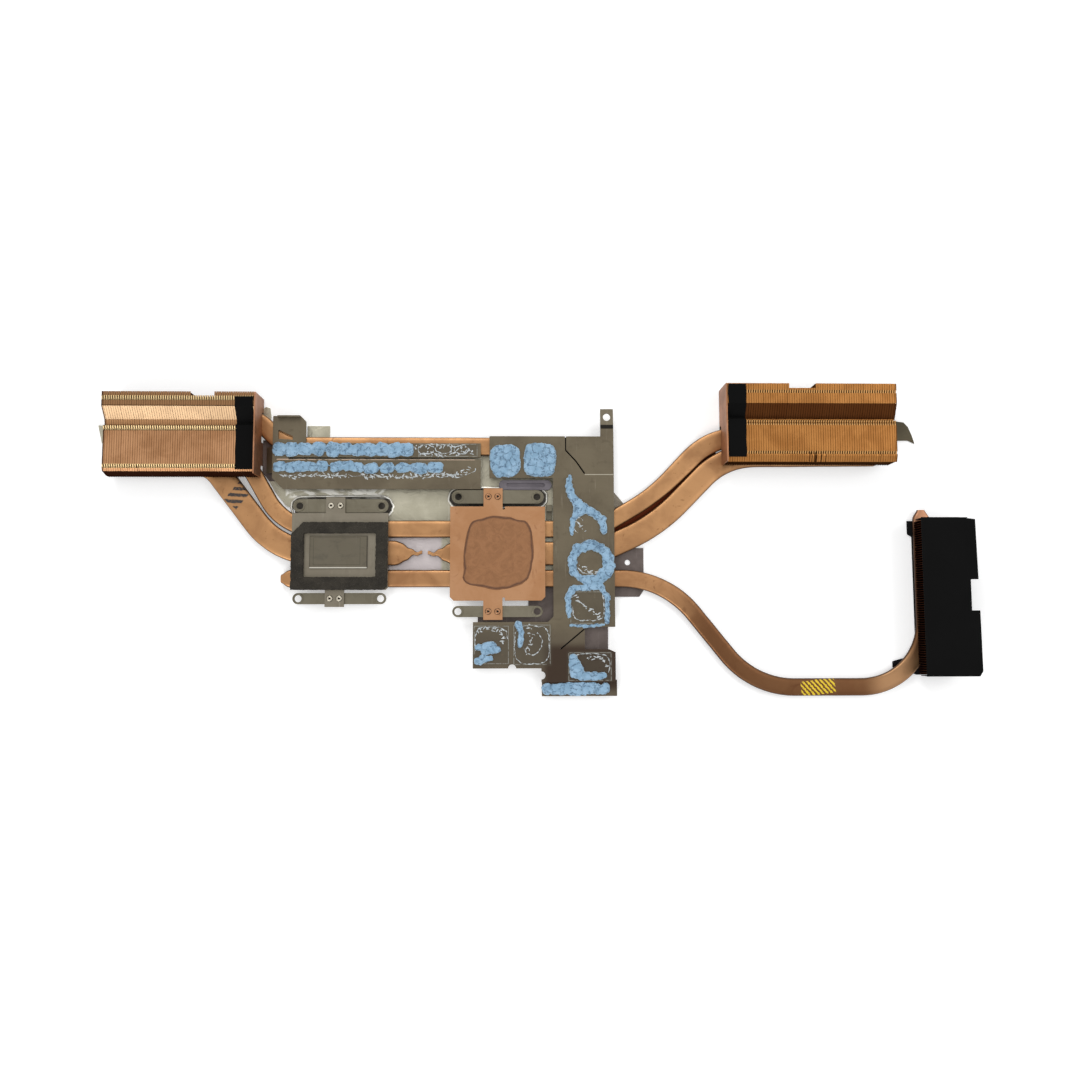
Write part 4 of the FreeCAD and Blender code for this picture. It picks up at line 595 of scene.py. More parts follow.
looks = {
    "leftFins": finLook(finTints["left"]),
    "rightFins": finLook(finTints["right"]),
    "sideFins": finLook(finTints["side"]),
    "endWalls": copperLook((172, 122, 90), (140, 98, 70), (96, 60, 40), 0.36, 0.5, sides=0.15),
    "pipeCopper": copperLook((176, 132, 90), (154, 113, 76), (104, 66, 38), 0.32, 0.5, marks["black"]),
    "sidePipeCopper": copperLook(
        (172, 128, 88), (146, 105, 70), (84, 50, 30), 0.28, 0.6, marks["yellow"], sidePipeZones
    ),
    "plateCopper": copperLook((173, 130, 95), (162, 118, 82), (124, 80, 52), 0.38, 0.35),
    "nickelSpring": platedLook((117, 111, 95), (98, 92, 77), (74, 66, 53), 0.32, stains=0.3),
    "nickelPlate": platedLook(
        (102, 93, 76), (88, 79, 64), (68, 58, 45), 0.42, stains=0.35, more=pressedCoats
    ),
    "chipNickel": platedLook(
        (126, 119, 105), (114, 107, 93), (94, 86, 70), 0.34, 0.85, 0.25, chipCoats
    ),
    "brightSheet": brightSheetLook,
    # the lips' near-white colour is painted highlight on the crumpled sheet
    "brightLip": platedLook((236, 234, 226), (196, 192, 180), (112, 104, 92), 0.24, 0.8, 0.6),
    # the rivets' crowns are painted bright, as painted highlights
    "rivetCrown": platedLook(
        (206, 200, 184), (170, 162, 144), (90, 80, 64), 0.26, 0.9, 0.4, rivetCoats
    ),
    "darkSheet": platedLook((104, 94, 90), (80, 71, 67), (56, 46, 40), 0.42, stains=0.3),
    "blackSheet": filmLook((20, 19, 20), 0.5),
    "endStrip": platedLook((78, 71, 55), (66, 60, 46), (56, 48, 38), 0.45, stains=0.3),
    # dark film used as painted shade in the gap between the right pipes
    "pipeGapShade": filmLook((104, 46, 24), 0.7),
    "greyStrip": platedLook((122, 116, 122), (102, 96, 102), (80, 74, 80), 0.5, 0.3, 0.3),
    "blackFilm": filmLook((4, 4, 4), 0.55),
    "foam": foamLook,
    "putty": puttyLook,
    "puttySmear": smearLook,
    "paste": pasteLook,
}
materials = {name: makeMaterial(name, build) for name, build in looks.items()}
print("materials made:", len(materials))


# Geometry trees

socketKinds = {float: "NodeSocketFloat", int: "NodeSocketInt", tuple: "NodeSocketVector"}


def linked(name, data):
    made = bpy.data.objects.new(name, data)
    scene.collection.objects.link(made)
    return made


def evaluatedMesh(source, name):
    # the shape that an object's modifiers give it, as a plain mesh
    mesh = bpy.data.meshes.new_from_object(source.evaluated_get(bpy.context.evaluated_depsgraph_get()))
    mesh.name = name
    return mesh


def growPiece(name, source, build, material, sizes):
    # runs a tree with named inputs on the source object and keeps the result as a plain mesh
    tree = bpy.data.node_groups.new(name + "Tree", "GeometryNodeTree")
    tree.interface.new_socket("Source", in_out="INPUT", socket_type="NodeSocketGeometry")
    tree.interface.new_socket("Result", in_out="OUTPUT", socket_type="NodeSocketGeometry")
    graph = Graph(tree)
    given = {**sizes, "material": materials[material]}
    sockets = {}
    for key, value in given.items():
        kind = socketKinds.get(type(value), "NodeSocketMaterial")
        sockets[key] = tree.interface.new_socket(key, in_out="INPUT", socket_type=kind)
    entry = tree.nodes.new("NodeGroupInput")
    wires = {key: Wire(graph, entry.outputs[key]) for key in sockets}
    shape = build(graph, Wire(graph, entry.outputs["Source"]), wires)
    real = graph.node("GeometryNodeRealizeInstances", {"Geometry": shape})
    finish = {"Geometry": real, "Material": wires["material"]}
    graph.node("NodeGroupOutput", {"Result": graph.node("GeometryNodeSetMaterial", finish)})
    modifier = source.modifiers.new("grow", "NODES")
    modifier.node_group = tree
    for key, value in given.items():
        modifier[sockets[key].identifier] = value
    mesh = evaluatedMesh(source, name)
    source.modifiers.remove(modifier)
    bpy.data.objects.remove(source)
    return linked(name, mesh)


def inMetres(sizes):
    return {key: value * mm for key, value in sizes.items()}


def settle(piece, slotName, *replaced):
    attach(piece, "root")
    if replaced:
        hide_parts(*replaced)
    return piece


def coat(piece, material):
    piece.data.materials.clear()
    piece.data.materials.append(material)
    return piece


def meshObject(name, points, faces=(), edges=()):
    mesh = bpy.data.meshes.new(name)
    mesh.from_pydata([Vector(p) * mm for p in points], edges, faces)
    return linked(name, mesh)


def lineObject(name, lines, level, closed=False):
    # drawn lines as points and edges on one level
    points, edges = [], []
    for line in lines:
        first, count = len(points), len(line)
        points += [(x, y, level) for x, y in line]
        edges += [(first + i, first + (i + 1) % count) for i in range(count if closed else count - 1)]
    return meshObject(name, points, (), edges)


# Flattened heat pipes: a route with bends, swept by a section that is flat with round sides

# how fine and how flat the section is, how it wavers and wags by the metre, and how softly it swells
sectionSizes = {
    "bendSteps": 24,
    "sides": 28,
    "flatness": 2.6,
    "dish": 0.035,
    "waver": 0.03,
    "waverRate": 90.0,
    "wagRate": 2600.0,
    "swellSoft": 30.0,
}


def pipeTree(graph, source, sizes):
    size = sectionSizes
    radius = graph.node("GeometryNodeInputRadius")
    corners = {"Curve": source, "Count": size["bendSteps"], "Radius": radius}
    line = graph.node("GeometryNodeFilletCurve", corners, mode="POLY")
    spacing = {"Curve": line, "Length": sizes["step"]}
    line = graph.node("GeometryNodeResampleCurve", spacing, mode="LENGTH")
    along = graph.node("GeometryNodeSplineParameter", output="Length")
    left = graph.node("GeometryNodeSplineLength", output="Length") - along
    tangent = graph.node("GeometryNodeInputTangent")
    line, spot, course, fromStart, toEnd = graph.capture(line, graph.here(), tangent, along, left)
    ring, ringSpot = graph.capture(graph.circle(size["sides"], 1.0), graph.here())
    sweep = {"Curve": line, "Profile Curve": ring, "Fill Caps": True}
    tube = graph.node("GeometryNodeCurveToMesh", sweep)
    cosine, sine = graph.parts(ringSpot)[:2]

    def opening(distance, tip, seal):
        # how closed the tip is: 1 in the open pipe, 0 at the seal
        return graph.step(distance, sizes[seal], sizes[seal] + sizes[tip])

    openness = opening(fromStart, "startTip", "startSeal") * opening(toEnd, "endTip", "endSeal")
    ripple = {"W": fromStart * size["waverRate"], "Scale": 1.0, "Detail": 2.0}
    waver = graph.node("ShaderNodeTexNoise", ripple, noise_dimensions="1D")
    full = sizes["swellFrom"]
    swollen = graph.step(toEnd, full + size["swellSoft"] * mm, full)
    narrow, low = sizes["tipWidth"], sizes["tipThick"]
    half = (narrow + (sizes["width"] - narrow) * openness.math("POWER", 0.75)) * 0.5
    half = half * (waver * size["waver"] + (1.0 - size["waver"])) + swollen * sizes["swell"] * 0.5
    side = (low + (sizes["thick"] - low) * openness.math("POWER", 0.5)) * 0.5
    flat = (cosine * size["flatness"]).math("MINIMUM", 1.0).math("MAXIMUM", -1.0)
    lift = sine * side * (1.0 - (1.0 - flat * flat) * size["dish"])
    wag = ((toEnd + fromStart * 0.4) * size["wagRate"]).math("SINE")
    across = flat * (half - side) + cosine * side + (1.0 - openness) * sizes["tailBend"] * wag
    aside = graph.vectorMath("CROSS_PRODUCT", {0: (0.0, 0.0, 1.0), 1: course})
    (spotX, spotY, spotZ), (sideX, sideY, sideZ) = graph.parts(spot), graph.parts(aside)
    place = graph.vector(spotX + sideX * across, spotY + sideY * across, spotZ + lift)
    return graph.smooth(graph.moved(tube, "Position", place))


def routeCurve(name, points, radii, level):
    # the corners of a route; each holds its bend radius
    data = bpy.data.curves.new(name, "CURVE")
    data.dimensions = "3D"
    spline = data.splines.new("POLY")
    spline.points.add(len(points) - 1)
    for point, (x, y), bend in zip(spline.points, points, [0.0, *radii, 0.0]):
        point.co = (x * mm, y * mm, level * mm, 1.0)
        point.radius = bend * mm
    return linked(name, data)


pipeLevel = 2.0
plainPipe = {
    "thick": 3.0,
    "step": 0.9,
    "startTip": 2.2,
    "startSeal": 0.0,
    "endTip": 2.2,
    "endSeal": 0.0,
    "tipWidth": 5.0,
    "tipThick": 1.6,
    "tailBend": 0.0,
    "swell": 0.0,
    "swellFrom": 84.0,
}
pinched = {"tipWidth": 1.6, "tipThick": 1.2, "tailBend": 0.45}
pipes = {
    "left_main_pipe": {
        "route": [(-178.7, 33.8), (-139.7, 33.8), (-109.7, -5.4), (-48.4, -5.4)],
        "bends": [14.0, 34.0],
        "own": {"width": 11.0, "endTip": 9.6, "endSeal": 2.6, **pinched},
    },
    "shared_pipe": {
        "route": [(-178.7, 44.0), (-130.0, 44.0), (-107.5, 5.0), (27.0, 5.0), (52.3, 19.9), (77.9, 45.8)]
        + [(151.5, 45.8)],
        "bends": [12.0, 25.0, 25.0, 90.0, 31.0],
        "own": {"width": 7.6, "swell": 1.3},
    },
    "right_main_pipe": {
        "route": [(-46.0, -5.6), (26.1, -5.6), (53.0, 6.6), (83.0, 37.3), (151.5, 37.9)],
        "bends": [35.0, 75.0, 32.0],
        "own": {"width": 10.4, "startTip": 9.6, "startSeal": 2.6, **pinched},
    },
    "side_pipe": {
        "route": [(-108.6, -16.4), (56.5, -16.4), (94.0, -63.2), (169.3, -63.2), (169.3, 13.4)],
        "bends": [40.0, 37.0, 28.5],
        "own": {"width": 7.6, "startTip": 3.6, "endTip": 4.0, "tipWidth": 3.4, "tipThick": 2.2},
        "material": "sidePipeCopper",
    },
    "vrm_pipe": {
        "route": [(-178.7, 54.0), (-121.2, 54.0), (-108.3, 41.1), (2.0, 41.1)],
        "bends": [18.0, 18.0],
        "own": {"width": 8.2},
    },
}
for node, pipe in pipes.items():
    route = routeCurve(node + "Route", pipe["route"], pipe["bends"], pipeLevel)
    sizes = inMetres({**plainPipe, **pipe["own"]})
    piece = growPiece(node + ".round", route, pipeTree, pipe.get("material", "pipeCopper"), sizes)
    settle(piece, "pipe_copper", node)
print("pipes made:", len(pipes))


# Fin stacks: one folded fin, repeated by a tree

def heightAt(profile, y):
    for (y0, z0), (y1, z1) in zip(profile, profile[1:]):
        if min(y0, y1) <= y <= max(y0, y1):
            return z0 + (z1 - z0) * (y - y0) / (y1 - y0)
    return profile[-1][1]


def finObject(name, ribbons, alongX):
    # each ribbon is a closed flat outline in the fin's plane, given thickness along the stack
    points, faces = [], []
    for outline, start, end in ribbons:
        first, count = len(points), len(outline)
        for level in (start, end):
            points += [(level, side, z) if alongX else (side, level, z) for side, z in outline]
        faces.append([first + i for i in range(count)])
        faces.append([first + count + i for i in reversed(range(count))])
        for i in range(count):
            j = (i + 1) % count
            faces.append([first + i, first + count + i, first + count + j, first + j])
    fin = meshObject(name, points, faces)
    mesh = bmesh.new()
    mesh.from_mesh(fin.data)
    bmesh.ops.recalc_face_normals(mesh, faces=mesh.faces)
    mesh.to_mesh(fin.data)
    mesh.free()
    return fin


foldSizes = {"lap": 0.02, "webEnd": 0.5, "louvre": (0.06, 0.74)}


def foldedRibbons(stack):
    # web, then the top fold in stretches with open breaks between them, then the hooks
    profile, foot, leg = stack["profile"], stack["foot"], stack["leg"]
    rear, front = profile[0][0], profile[-1][0]
    thin, reach = stack["thin"], stack["pitch"] - stack["gap"]
    webEnd, louvreParts = foldSizes["webEnd"], foldSizes["louvre"]
    web = [(y, z - foldSizes["lap"]) for y, z in profile]
    web += [(front, foot), (leg, foot), (leg, webEnd), (rear, webEnd)]
    ribbons = [(web, 0.0, thin)]
    for start, end in stack["stretches"]:
        steps = [start] + [y for y, z in profile if end < y < start] + [end]
        top = [(y, heightAt(profile, y)) for y in steps]
        ribbons.append((top + [(y, z - thin) for y, z in reversed(top)], 0.0, reach))
    for y, long, rise in stack["hooks"]:
        # a louvre: its rear end stands proud, its front end dips under the fold
        z = heightAt(profile, y)
        back, fore = y + long / 2, y - long / 2
        louvre = [(back, z + rise), (fore, z - rise), (fore, z - rise - thin), (back, z + rise - thin)]
        ribbons.append((louvre, *[reach * part for part in louvreParts]))
    return ribbons


def stackTree(graph, source, sizes):
    row = graph.node("GeometryNodeMeshLine", {"Count": sizes["count"], "Offset": sizes["offset"]})
    row, rowSpot = graph.capture(graph.moved(row, "Offset", sizes["start"]), graph.here())
    fall = {2: -0.03 * mm, 3: 0.0, "Seed": sizes["seed"] + 3}
    drop = graph.node("FunctionNodeRandomValue", fall, 1, data_type="FLOAT")
    row = graph.moved(row, "Offset", graph.vector(0.0, 0.0, drop))
    spread = graph.wild((-1.0, -1.0, -1.0), (1.0, 1.0, 1.0), sizes["seed"])
    sway = graph.vectorMath("MULTIPLY", {0: spread, 1: sizes["sway"]})
    fins = graph.copies(row, source, Rotation=sway)
    fins = graph.node("GeometryNodeRealizeInstances", {"Geometry": fins})
    x, y, z = graph.parts(graph.here())
    finX = graph.parts(rowSpot)[0]
    inside = finX.math("GREATER_THAN", sizes["notchFrom"]) * finX.math("LESS_THAN", sizes["notchTo"])
    cut = y.math("MINIMUM", sizes["rear"] - sizes["notchDeep"] + (1.0 - inside))
    return graph.moved(fins, "Position", graph.vector(x, cut, z))


rearSway = (0.0004, 0.0008, 0.0003)
leftStack = {
    "start": -182.2,
    "count": 65,
    "pitch": 0.98,
    "gap": 0.13,
    "thin": 0.2,
    "profile": [(62.0, 15.3), (55.8, 15.3), (50.7, 11.4), (48.5, 11.0), (48.0, 12.5), (29.8, 12.5)]
    + [(28.5, 11.9), (27.2, 7.4)],
    "stretches": [(62.0, 60.2), (58.2, 56.1), (55.8, 50.7), (50.6, 48.5), (45.8, 31.4), (29.8, 27.2)],
    "hooks": [(59.2, 1.8, 0.34), (46.9, 1.8, 0.45), (30.6, 1.5, 0.34)],
    "foot": 3.55,
    "leg": 58.5,
    "notch": {"notchFrom": -145.0, "notchTo": -135.3, "notchDeep": 1.7},
    "seed": 4,
    "sway": rearSway,
    "dents": [{"x": -167.0, "wide": 3.0, "from": 31.0, "above": 9.0, "lean": 0.5, "drop": 0.8}],
}
rightStack = {
    "start": 82.4,
    "count": 71,
    "pitch": 1.03,
    "gap": 0.14,
    "thin": 0.2,
    "profile": [(66.55, 15.3), (57.9, 15.3), (51.6, 12.0), (51.2, 12.0), (50.6, 14.1), (35.4, 14.1)]
    + [(32.9, 13.1)],
    "stretches": [(66.55, 63.6), (62.4, 57.9), (57.8, 51.3), (49.0, 37.4), (36.2, 32.9)],
    "hooks": [(63.0, 1.1, 0.2), (50.1, 1.1, 0.3), (48.9, 0.9, 0.3), (36.8, 1.1, 0.25)],
    "foot": 3.55,
    "leg": 50.4,
    "notch": {"notchFrom": 109.0, "notchTo": 120.5, "notchDeep": 2.0},
    "seed": 9,
    "sway": rearSway,
    "dents": [
        {"x": 120.9, "wide": 4.4, "from": 36.6, "above": 9.0, "lean": 3.2, "drop": 2.6},
        {"x": 148.0, "wide": 1.2, "from": 36.4, "above": 9.0, "lean": 0.8, "drop": 1.2},
    ],
}


def knock(piece, dent):
    # bends the fins' front ends sideways and down where something hit them
    for vertex in piece.data.vertices:
        across = abs(vertex.co.x / mm - dent["x"]) / dent["wide"]
        past = dent["from"] - vertex.co.y / mm
        if across < 1.0 and past > 0.0 and vertex.co.z / mm > dent["above"]:
            push = (1.0 - across * across) * min(1.0, past / 0.8)
            wild = noise.noise(Vector((vertex.co.x / (0.7 * mm), 0.0, 2.0)))
            vertex.co.x += dent["lean"] * push * wild * mm
            vertex.co.z -= dent["drop"] * push * abs(wild) * mm


def growStack(side, stack, ribbons, alongX=True):
    start, pitch = stack["start"] * mm, stack["pitch"] * mm
    sizes = {
        "count": stack["count"],
        "offset": (pitch, 0.0, 0.0) if alongX else (0.0, -pitch, 0.0),
        "start": (start, 0.0, 0.0) if alongX else (0.0, start, 0.0),
        "rear": max(y for outline, *ends in ribbons for y, z in outline) * mm,
        "seed": stack["seed"],
        "sway": stack["sway"],
        **inMetres(stack["notch"]),
    }
    fin = finObject(side + "One", ribbons, alongX)
    piece = growPiece(side + "Stack", fin, stackTree, side + "Fins", sizes)
    for dent in stack.get("dents", ()):
        knock(piece, dent)
    settle(piece, "fin_copper", side + "_fins")


growStack("left", leftStack, foldedRibbons(leftStack))
growStack("right", rightStack, foldedRibbons(rightStack))
print("rear stacks made")


# Plain sheets and plates keep their outline and get eased edges

easeSizes = {"weld": 0.002, "flat": 1.0, "sharp": 28.0, "segments": 2, "profile": 0.6}


def easedCopy(node, width):
    size = easeSizes
    mesh = bmesh.new()
    mesh.from_mesh(nodes[node].data)
    bmesh.ops.remove_doubles(mesh, verts=mesh.verts, dist=size["weld"] * mm)
    flat, sharp = math.radians(size["flat"]), math.radians(size["sharp"])
    bmesh.ops.dissolve_limit(mesh, angle_limit=flat, verts=mesh.verts, edges=mesh.edges)
    edges = [e for e in mesh.edges if len(e.link_faces) == 2 and e.calc_face_angle(0.0) > sharp]
    bmesh.ops.bevel(
        mesh,
        geom=edges,
        offset=width * mm,
        segments=size["segments"],
        profile=size["profile"],
        affect="EDGES",
        clamp_overlap=True,
    )
    data = bpy.data.meshes.new(node + ".eased")
    mesh.to_mesh(data)
    mesh.free()
    return linked(node + ".eased", data)


# node: slot, material, width of the eased edge
easedPlates = {
    "cpu_cold_plate": ("plate_copper", "chipNickel", 0.18),
    "gpu_cold_plate": ("plate_copper", "plateCopper", 0.25),
    "cpu_rear_arm": ("nickel_spring", "nickelSpring", 0.14),
    "cpu_front_arm": ("nickel_spring", "nickelSpring", 0.14),
    "gpu_rear_arm": ("nickel_spring", "nickelSpring", 0.14),
    "gpu_front_arm": ("nickel_spring", "nickelSpring", 0.14),
    "transistor_plate": ("nickel_plate", "nickelPlate", 0.14),
    "memory_plate": ("nickel_plate", "nickelPlate", 0.16),
    "front_rail": ("nickel_plate", "nickelPlate", 0.14),
    "rear_sheet": ("bright_sheet", "brightSheet", 0.1),
    "front_sheet": ("dark_sheet", "darkSheet", 0.1),
    "left_base_strip": ("bright_sheet", "brightSheet", 0.1),
    "right_base_strip": ("bright_sheet", "endStrip", 0.1),
    "side_base_sheet": ("black_sheet", "blackSheet", 0.1),
    "slotted_strip": ("grey_strip", "greyStrip", 0.2),
    "spring_clip": ("nickel_spring", "nickelSpring", 0.08),
    "left_end_wall": ("fin_copper", "endWalls", 0.12),
    "right_end_wall": ("fin_copper", "endWalls", 0.12),
}
for node, (slotName, finish, width) in easedPlates.items():
    settle(coat(easedCopy(node, width), materials[finish]), slotName, node)
print("plates eased:", len(easedPlates))


# Thin flat additions: the sheets' flanks beside the left pipes, a dark piece as painted shade in the gap
# between the right pipes, and dark pieces as painted shade under two slits. Each: levels, material, slot,
# outline
flatPieces = {
    "flankRear": (0.05, 0.45, "darkSheet", "dark_sheet", [
        (-109.8, 26.0), (-109.8, 44.0), (-118.0, 44.0), (-118.0, 30.0), (-115.0, 26.0),
    ]),
    "flankFront": (0.05, 0.45, "brightSheet", "bright_sheet", [
        (-103.7, 13.6), (-103.7, 24.0), (-109.8, 26.0), (-115.0, 26.0), (-112.4, 21.4), (-107.6, 15.4),
    ]),
    # painted shade: a dark piece in the gap between the right pipes
    "pipeGap": (0.05, 0.4, "pipeGapShade", "dark_sheet", [
        (34.6, 2.6), (47.6, 9.4), (59.8, 19.0), (68.0, 27.6), (79.9, 36.4), (79.9, 41.4),
        (74.6, 38.2), (65.4, 30.8), (57.6, 22.6), (46.6, 13.8), (34.6, 7.4),
    ]),
    # painted shade: dark pieces under the two slits
    "rearSlitShade": (3.2, 3.42, "blackSheet", "black_sheet", [
        (12.4, 45.0), (12.4, 38.4), (20.6, 28.4), (23.0, 29.6), (15.0, 39.6), (15.0, 45.0),
    ]),
    "frontSlitShade": (3.2, 3.42, "blackSheet", "black_sheet", [
        (9.9, -47.6), (12.0, -47.8), (21.2, -40.2), (21.2, -37.6), (19.8, -37.0),
    ]),
}
for name, (low, high, finish, slotName, outline) in flatPieces.items():
    count = len(outline)
    points = [(x, y, low) for x, y in outline] + [(x, y, high) for x, y in outline]
    faces = [tuple(reversed(range(count))), tuple(range(count, 2 * count))]
    faces += [(i, (i + 1) % count, count + (i + 1) % count, count + i) for i in range(count)]
    settle(coat(meshObject(name, points, faces), materials[finish]), slotName)
print("flat additions made")


# Rivets, the pressed rings round the screw holes, and the lips round the rear arms

armSizes = {
    "cpu": {"x": -83.3, "y": -5.1, "spanX": 35.0, "spanY": 39.8},
    "gpu": {"x": -15.9, "y": -5.9, "spanX": 33.9, "spanY": 49.4},
    "tabShift": -2.0,
    "rivetApart": 4.0,
    "rivetLevel": 5.0,
    "armLevel": 4.2,
}
rivetSizes = {"radius": 1.4 * mm, "flatness": 0.36, "dimple": 0.42 * mm}
ringSizes = {"radius": 2.1 * mm, "thick": 0.24 * mm}


def rivetTree(graph, source, sizes):
    # a flat dome with a dimple pressed into its middle
    ball = {"Segments": 24, "Rings": 14, "Radius": sizes["radius"]}
    dome = graph.node("GeometryNodeMeshUVSphere", ball)
    x, y, z = graph.parts(graph.here())
    far = (x * x + y * y).math("SQRT")
    dimple = graph.step(far, sizes["radius"] * 0.28, sizes["radius"] * 0.52, sizes["dimple"], 0.0)
    place = graph.vector(x, y, z * sizes["flatness"] - dimple * z.math("GREATER_THAN", 0.0))
    dome = graph.smooth(graph.moved(dome, "Position", place))
    return graph.copies(graph.node("GeometryNodeMeshToPoints", {"Mesh": source}), dome)


def ringTree(graph, source, sizes):
    # a low round bead round each hole
    ring = graph.bead(graph.circle(40, sizes["radius"]), 10, sizes["thick"])
    return graph.copies(graph.node("GeometryNodeMeshToPoints", {"Mesh": source}), ring)


def lipTree(graph, source, sizes):
    # a low bead along a slot's outline
    return graph.bead(graph.node("GeometryNodeMeshToCurve", {"Mesh": source}), 10, sizes["thick"])


rivetSpots, holeSpots = [], []
for chip in ("cpu", "gpu"):
    size = armSizes[chip]
    for side in (1, -1):
        y = size["y"] + side * size["spanY"] / 2
        for step in (-1, 1):
            x = size["x"] + armSizes["tabShift"] + step * armSizes["rivetApart"] / 2
            rivetSpots.append((x, y, armSizes["rivetLevel"]))
            holeSpots.append((size["x"] + step * size["spanX"] / 2, y, armSizes["armLevel"]))
spots = meshObject("rivetSpots", rivetSpots)
rivets = growPiece("armRivets", spots, rivetTree, "rivetCrown", rivetSizes)
settle(rivets, "nickel_spring", "arm_rivets")
spots = meshObject("holeSpots", holeSpots)
settle(growPiece("holeRings", spots, ringTree, "nickelSpring", ringSizes), "nickel_spring")

lipSizes = {"reach": 4.25, "level": 0.7, "thick": 0.55, "steps": 16, "wave": 0.9}
lipLines = []
for armX, armY, half in gapSizes["arms"]:
    line = []
    for side, turn in ((1, -90), (-1, 90)):
        for i in range(lipSizes["steps"] + 1):
            angle = math.radians(turn + 180 * i / lipSizes["steps"])
            wave = noise.noise(Vector((armX, angle * 1.6, side))) * lipSizes["wave"]
            reach = lipSizes["reach"] + abs(wave)
            line.append((armX + side * half + reach * math.cos(angle), armY + reach * math.sin(angle)))
    lipLines.append(line)
lipShape = lineObject("lipLines", lipLines, lipSizes["level"], closed=True)
lips = growPiece("armLips", lipShape, lipTree, "brightLip", {"thick": lipSizes["thick"] * mm})
settle(lips, "bright_sheet")
print("rivets, rings and lips made")


# Soft and smeared things: putty, paste, foam, tapes and film

skinSizes = {"weld": 0.002, "ease": 0.5}


def skinned(rough, name, voxel, smooth):
    # one closed skin round everything in the object, eased a little
    weld = rough.modifiers.new("weld", "WELD")
    weld.merge_threshold = skinSizes["weld"] * mm
    mesher = rough.modifiers.new("voxels", "REMESH")
    mesher.mode = "VOXEL"
    mesher.voxel_size = voxel * mm
    ease = rough.modifiers.new("ease", "SMOOTH")
    ease.factor = skinSizes["ease"]
    ease.iterations = smooth
    mesh = evaluatedMesh(rough, name)
    bpy.data.objects.remove(rough)
    mesh.polygons.foreach_set("use_smooth", [True] * len(mesh.polygons))
    return linked(name, mesh)


def lump(piece, layers, floor):
    # pushes points out along their normals by noise; nothing goes below the plate it lies on
    mesh = piece.data
    normals = [vertex.normal.copy() for vertex in mesh.vertices]
    for vertex, normal in zip(mesh.vertices, normals):
        push = 0.0
        for grain, amount, shift in layers:
            push += amount * mm * noise.noise(vertex.co / (grain * mm) + Vector((shift, 0, 0)))
        vertex.co += normal * push
        vertex.co.z = max(vertex.co.z, floor)
    mesh.update()
    return piece


puttySizes = {
    "voxel": 0.3,
    "smooth": 2,
    "square": 0.62,
    "layers": [(3.2, 0.55, 3.0), (1.3, 0.32, 11.0), (0.55, 0.2, 29.0)],
}
puttyLevel, railLevel = 4.3, 3.5


def puttyPiece(name, node, level, dollops):
    # low rounded cushions run together into one skin, then roughened
    size = puttySizes
    mesh = bmesh.new()
    for x, y, halfX, halfY, turn, high in dollops:
        made = bmesh.ops.create_icosphere(mesh, subdivisions=3, radius=1.0)
        place = Matrix.Translation(Vector((x, y, level)) * mm) @ Matrix.Rotation(turn, 4, "Z")
        place = place @ Matrix.Diagonal((halfX * mm, halfY * mm, high * mm, 1.0))
        for vertex in made["verts"]:
            spread = [math.copysign(abs(c) ** size["square"], c) for c in vertex.co]
            vertex.co = place @ Vector(spread)
    data = bpy.data.meshes.new(name)
    mesh.to_mesh(data)
    mesh.free()
    piece = skinned(linked(name + "Rough", data), name, size["voxel"], size["smooth"])
    lump(piece, size["layers"], level * mm)
    return settle(coat(piece, materials["putty"]), "putty", node)


def chain(points, widths, high, seed, gap=0.36):
    # dollops along a bent line; the width eases between its corners
    picks = random.Random(seed)
    dollops = []
    for (x0, y0), (x1, y1), w0, w1 in zip(points, points[1:], widths, widths[1:]):
        long = math.hypot(x1 - x0, y1 - y0)
        count = max(1, round(long / (gap * (w0 + w1) / 2)))
        for i in range(count):
            part = i / count
            wide = (w0 + (w1 - w0) * part) / 2 * picks.uniform(0.96, 1.16)
            x = x0 + (x1 - x0) * part + picks.uniform(-0.2, 0.2)
            y = y0 + (y1 - y0) * part + picks.uniform(-0.2, 0.2)
            deep, turn = wide * picks.uniform(0.9, 1.1), picks.uniform(0, 3)
            dollops.append((x, y, wide, deep, turn, high * picks.uniform(0.8, 0.95)))
    return dollops


def arcLine(x, y, halfX, halfY, start, end, power=2.0, steps=26):
    # points along part of a rounded square, angles in degrees
    line = []
    for i in range(steps + 1):
        angle = math.radians(start + (end - start) * i / steps)
        c, s = math.cos(angle), math.sin(angle)
        size = (abs(c) ** power + abs(s) ** power) ** (-1.0 / power)
        line.append((x + halfX * c * size, y + halfY * s * size))
    return line


# The transistors' rows: places along the row, its y, half sizes and height of a dollop
puttyRows = [
    {
        "xs": [-110.0, -104.8, -99.0, -93.2, -86.9, -81.4, -76.0, -71.4, -65.8, -60.7, -55.2],
        "y": 39.4,
        "half": (3.05, 3.1),
        "high": 1.15,
    },
    {
        "xs": [-109.7, -104.6, -100.8, -96.6, -91.4, -85.3, -80.2, -76.4],
        "y": 31.9,
        "half": (2.8, 2.3),
        "high": 1.0,
    },
    {"xs": [-70.4, -63.6, -56.8, -50.0, -42.8], "y": 31.3, "half": (3.35, 2.3), "high": 1.1},
]
picks = random.Random(12)
rowDollops = []
for row in puttyRows:
    for x in row["xs"]:
        y = row["y"] + picks.uniform(-0.3, 0.3)
        halfX = row["half"][0] * picks.uniform(0.95, 1.1)
        halfY = row["half"][1] * picks.uniform(0.9, 1.05)
        turn = picks.uniform(-0.15, 0.15)
        rowDollops.append((x, y, halfX, halfY, turn, row["high"] * picks.uniform(0.8, 1.0)))
puttyPiece("rowPutty", "transistor_putty", puttyLevel, rowDollops)

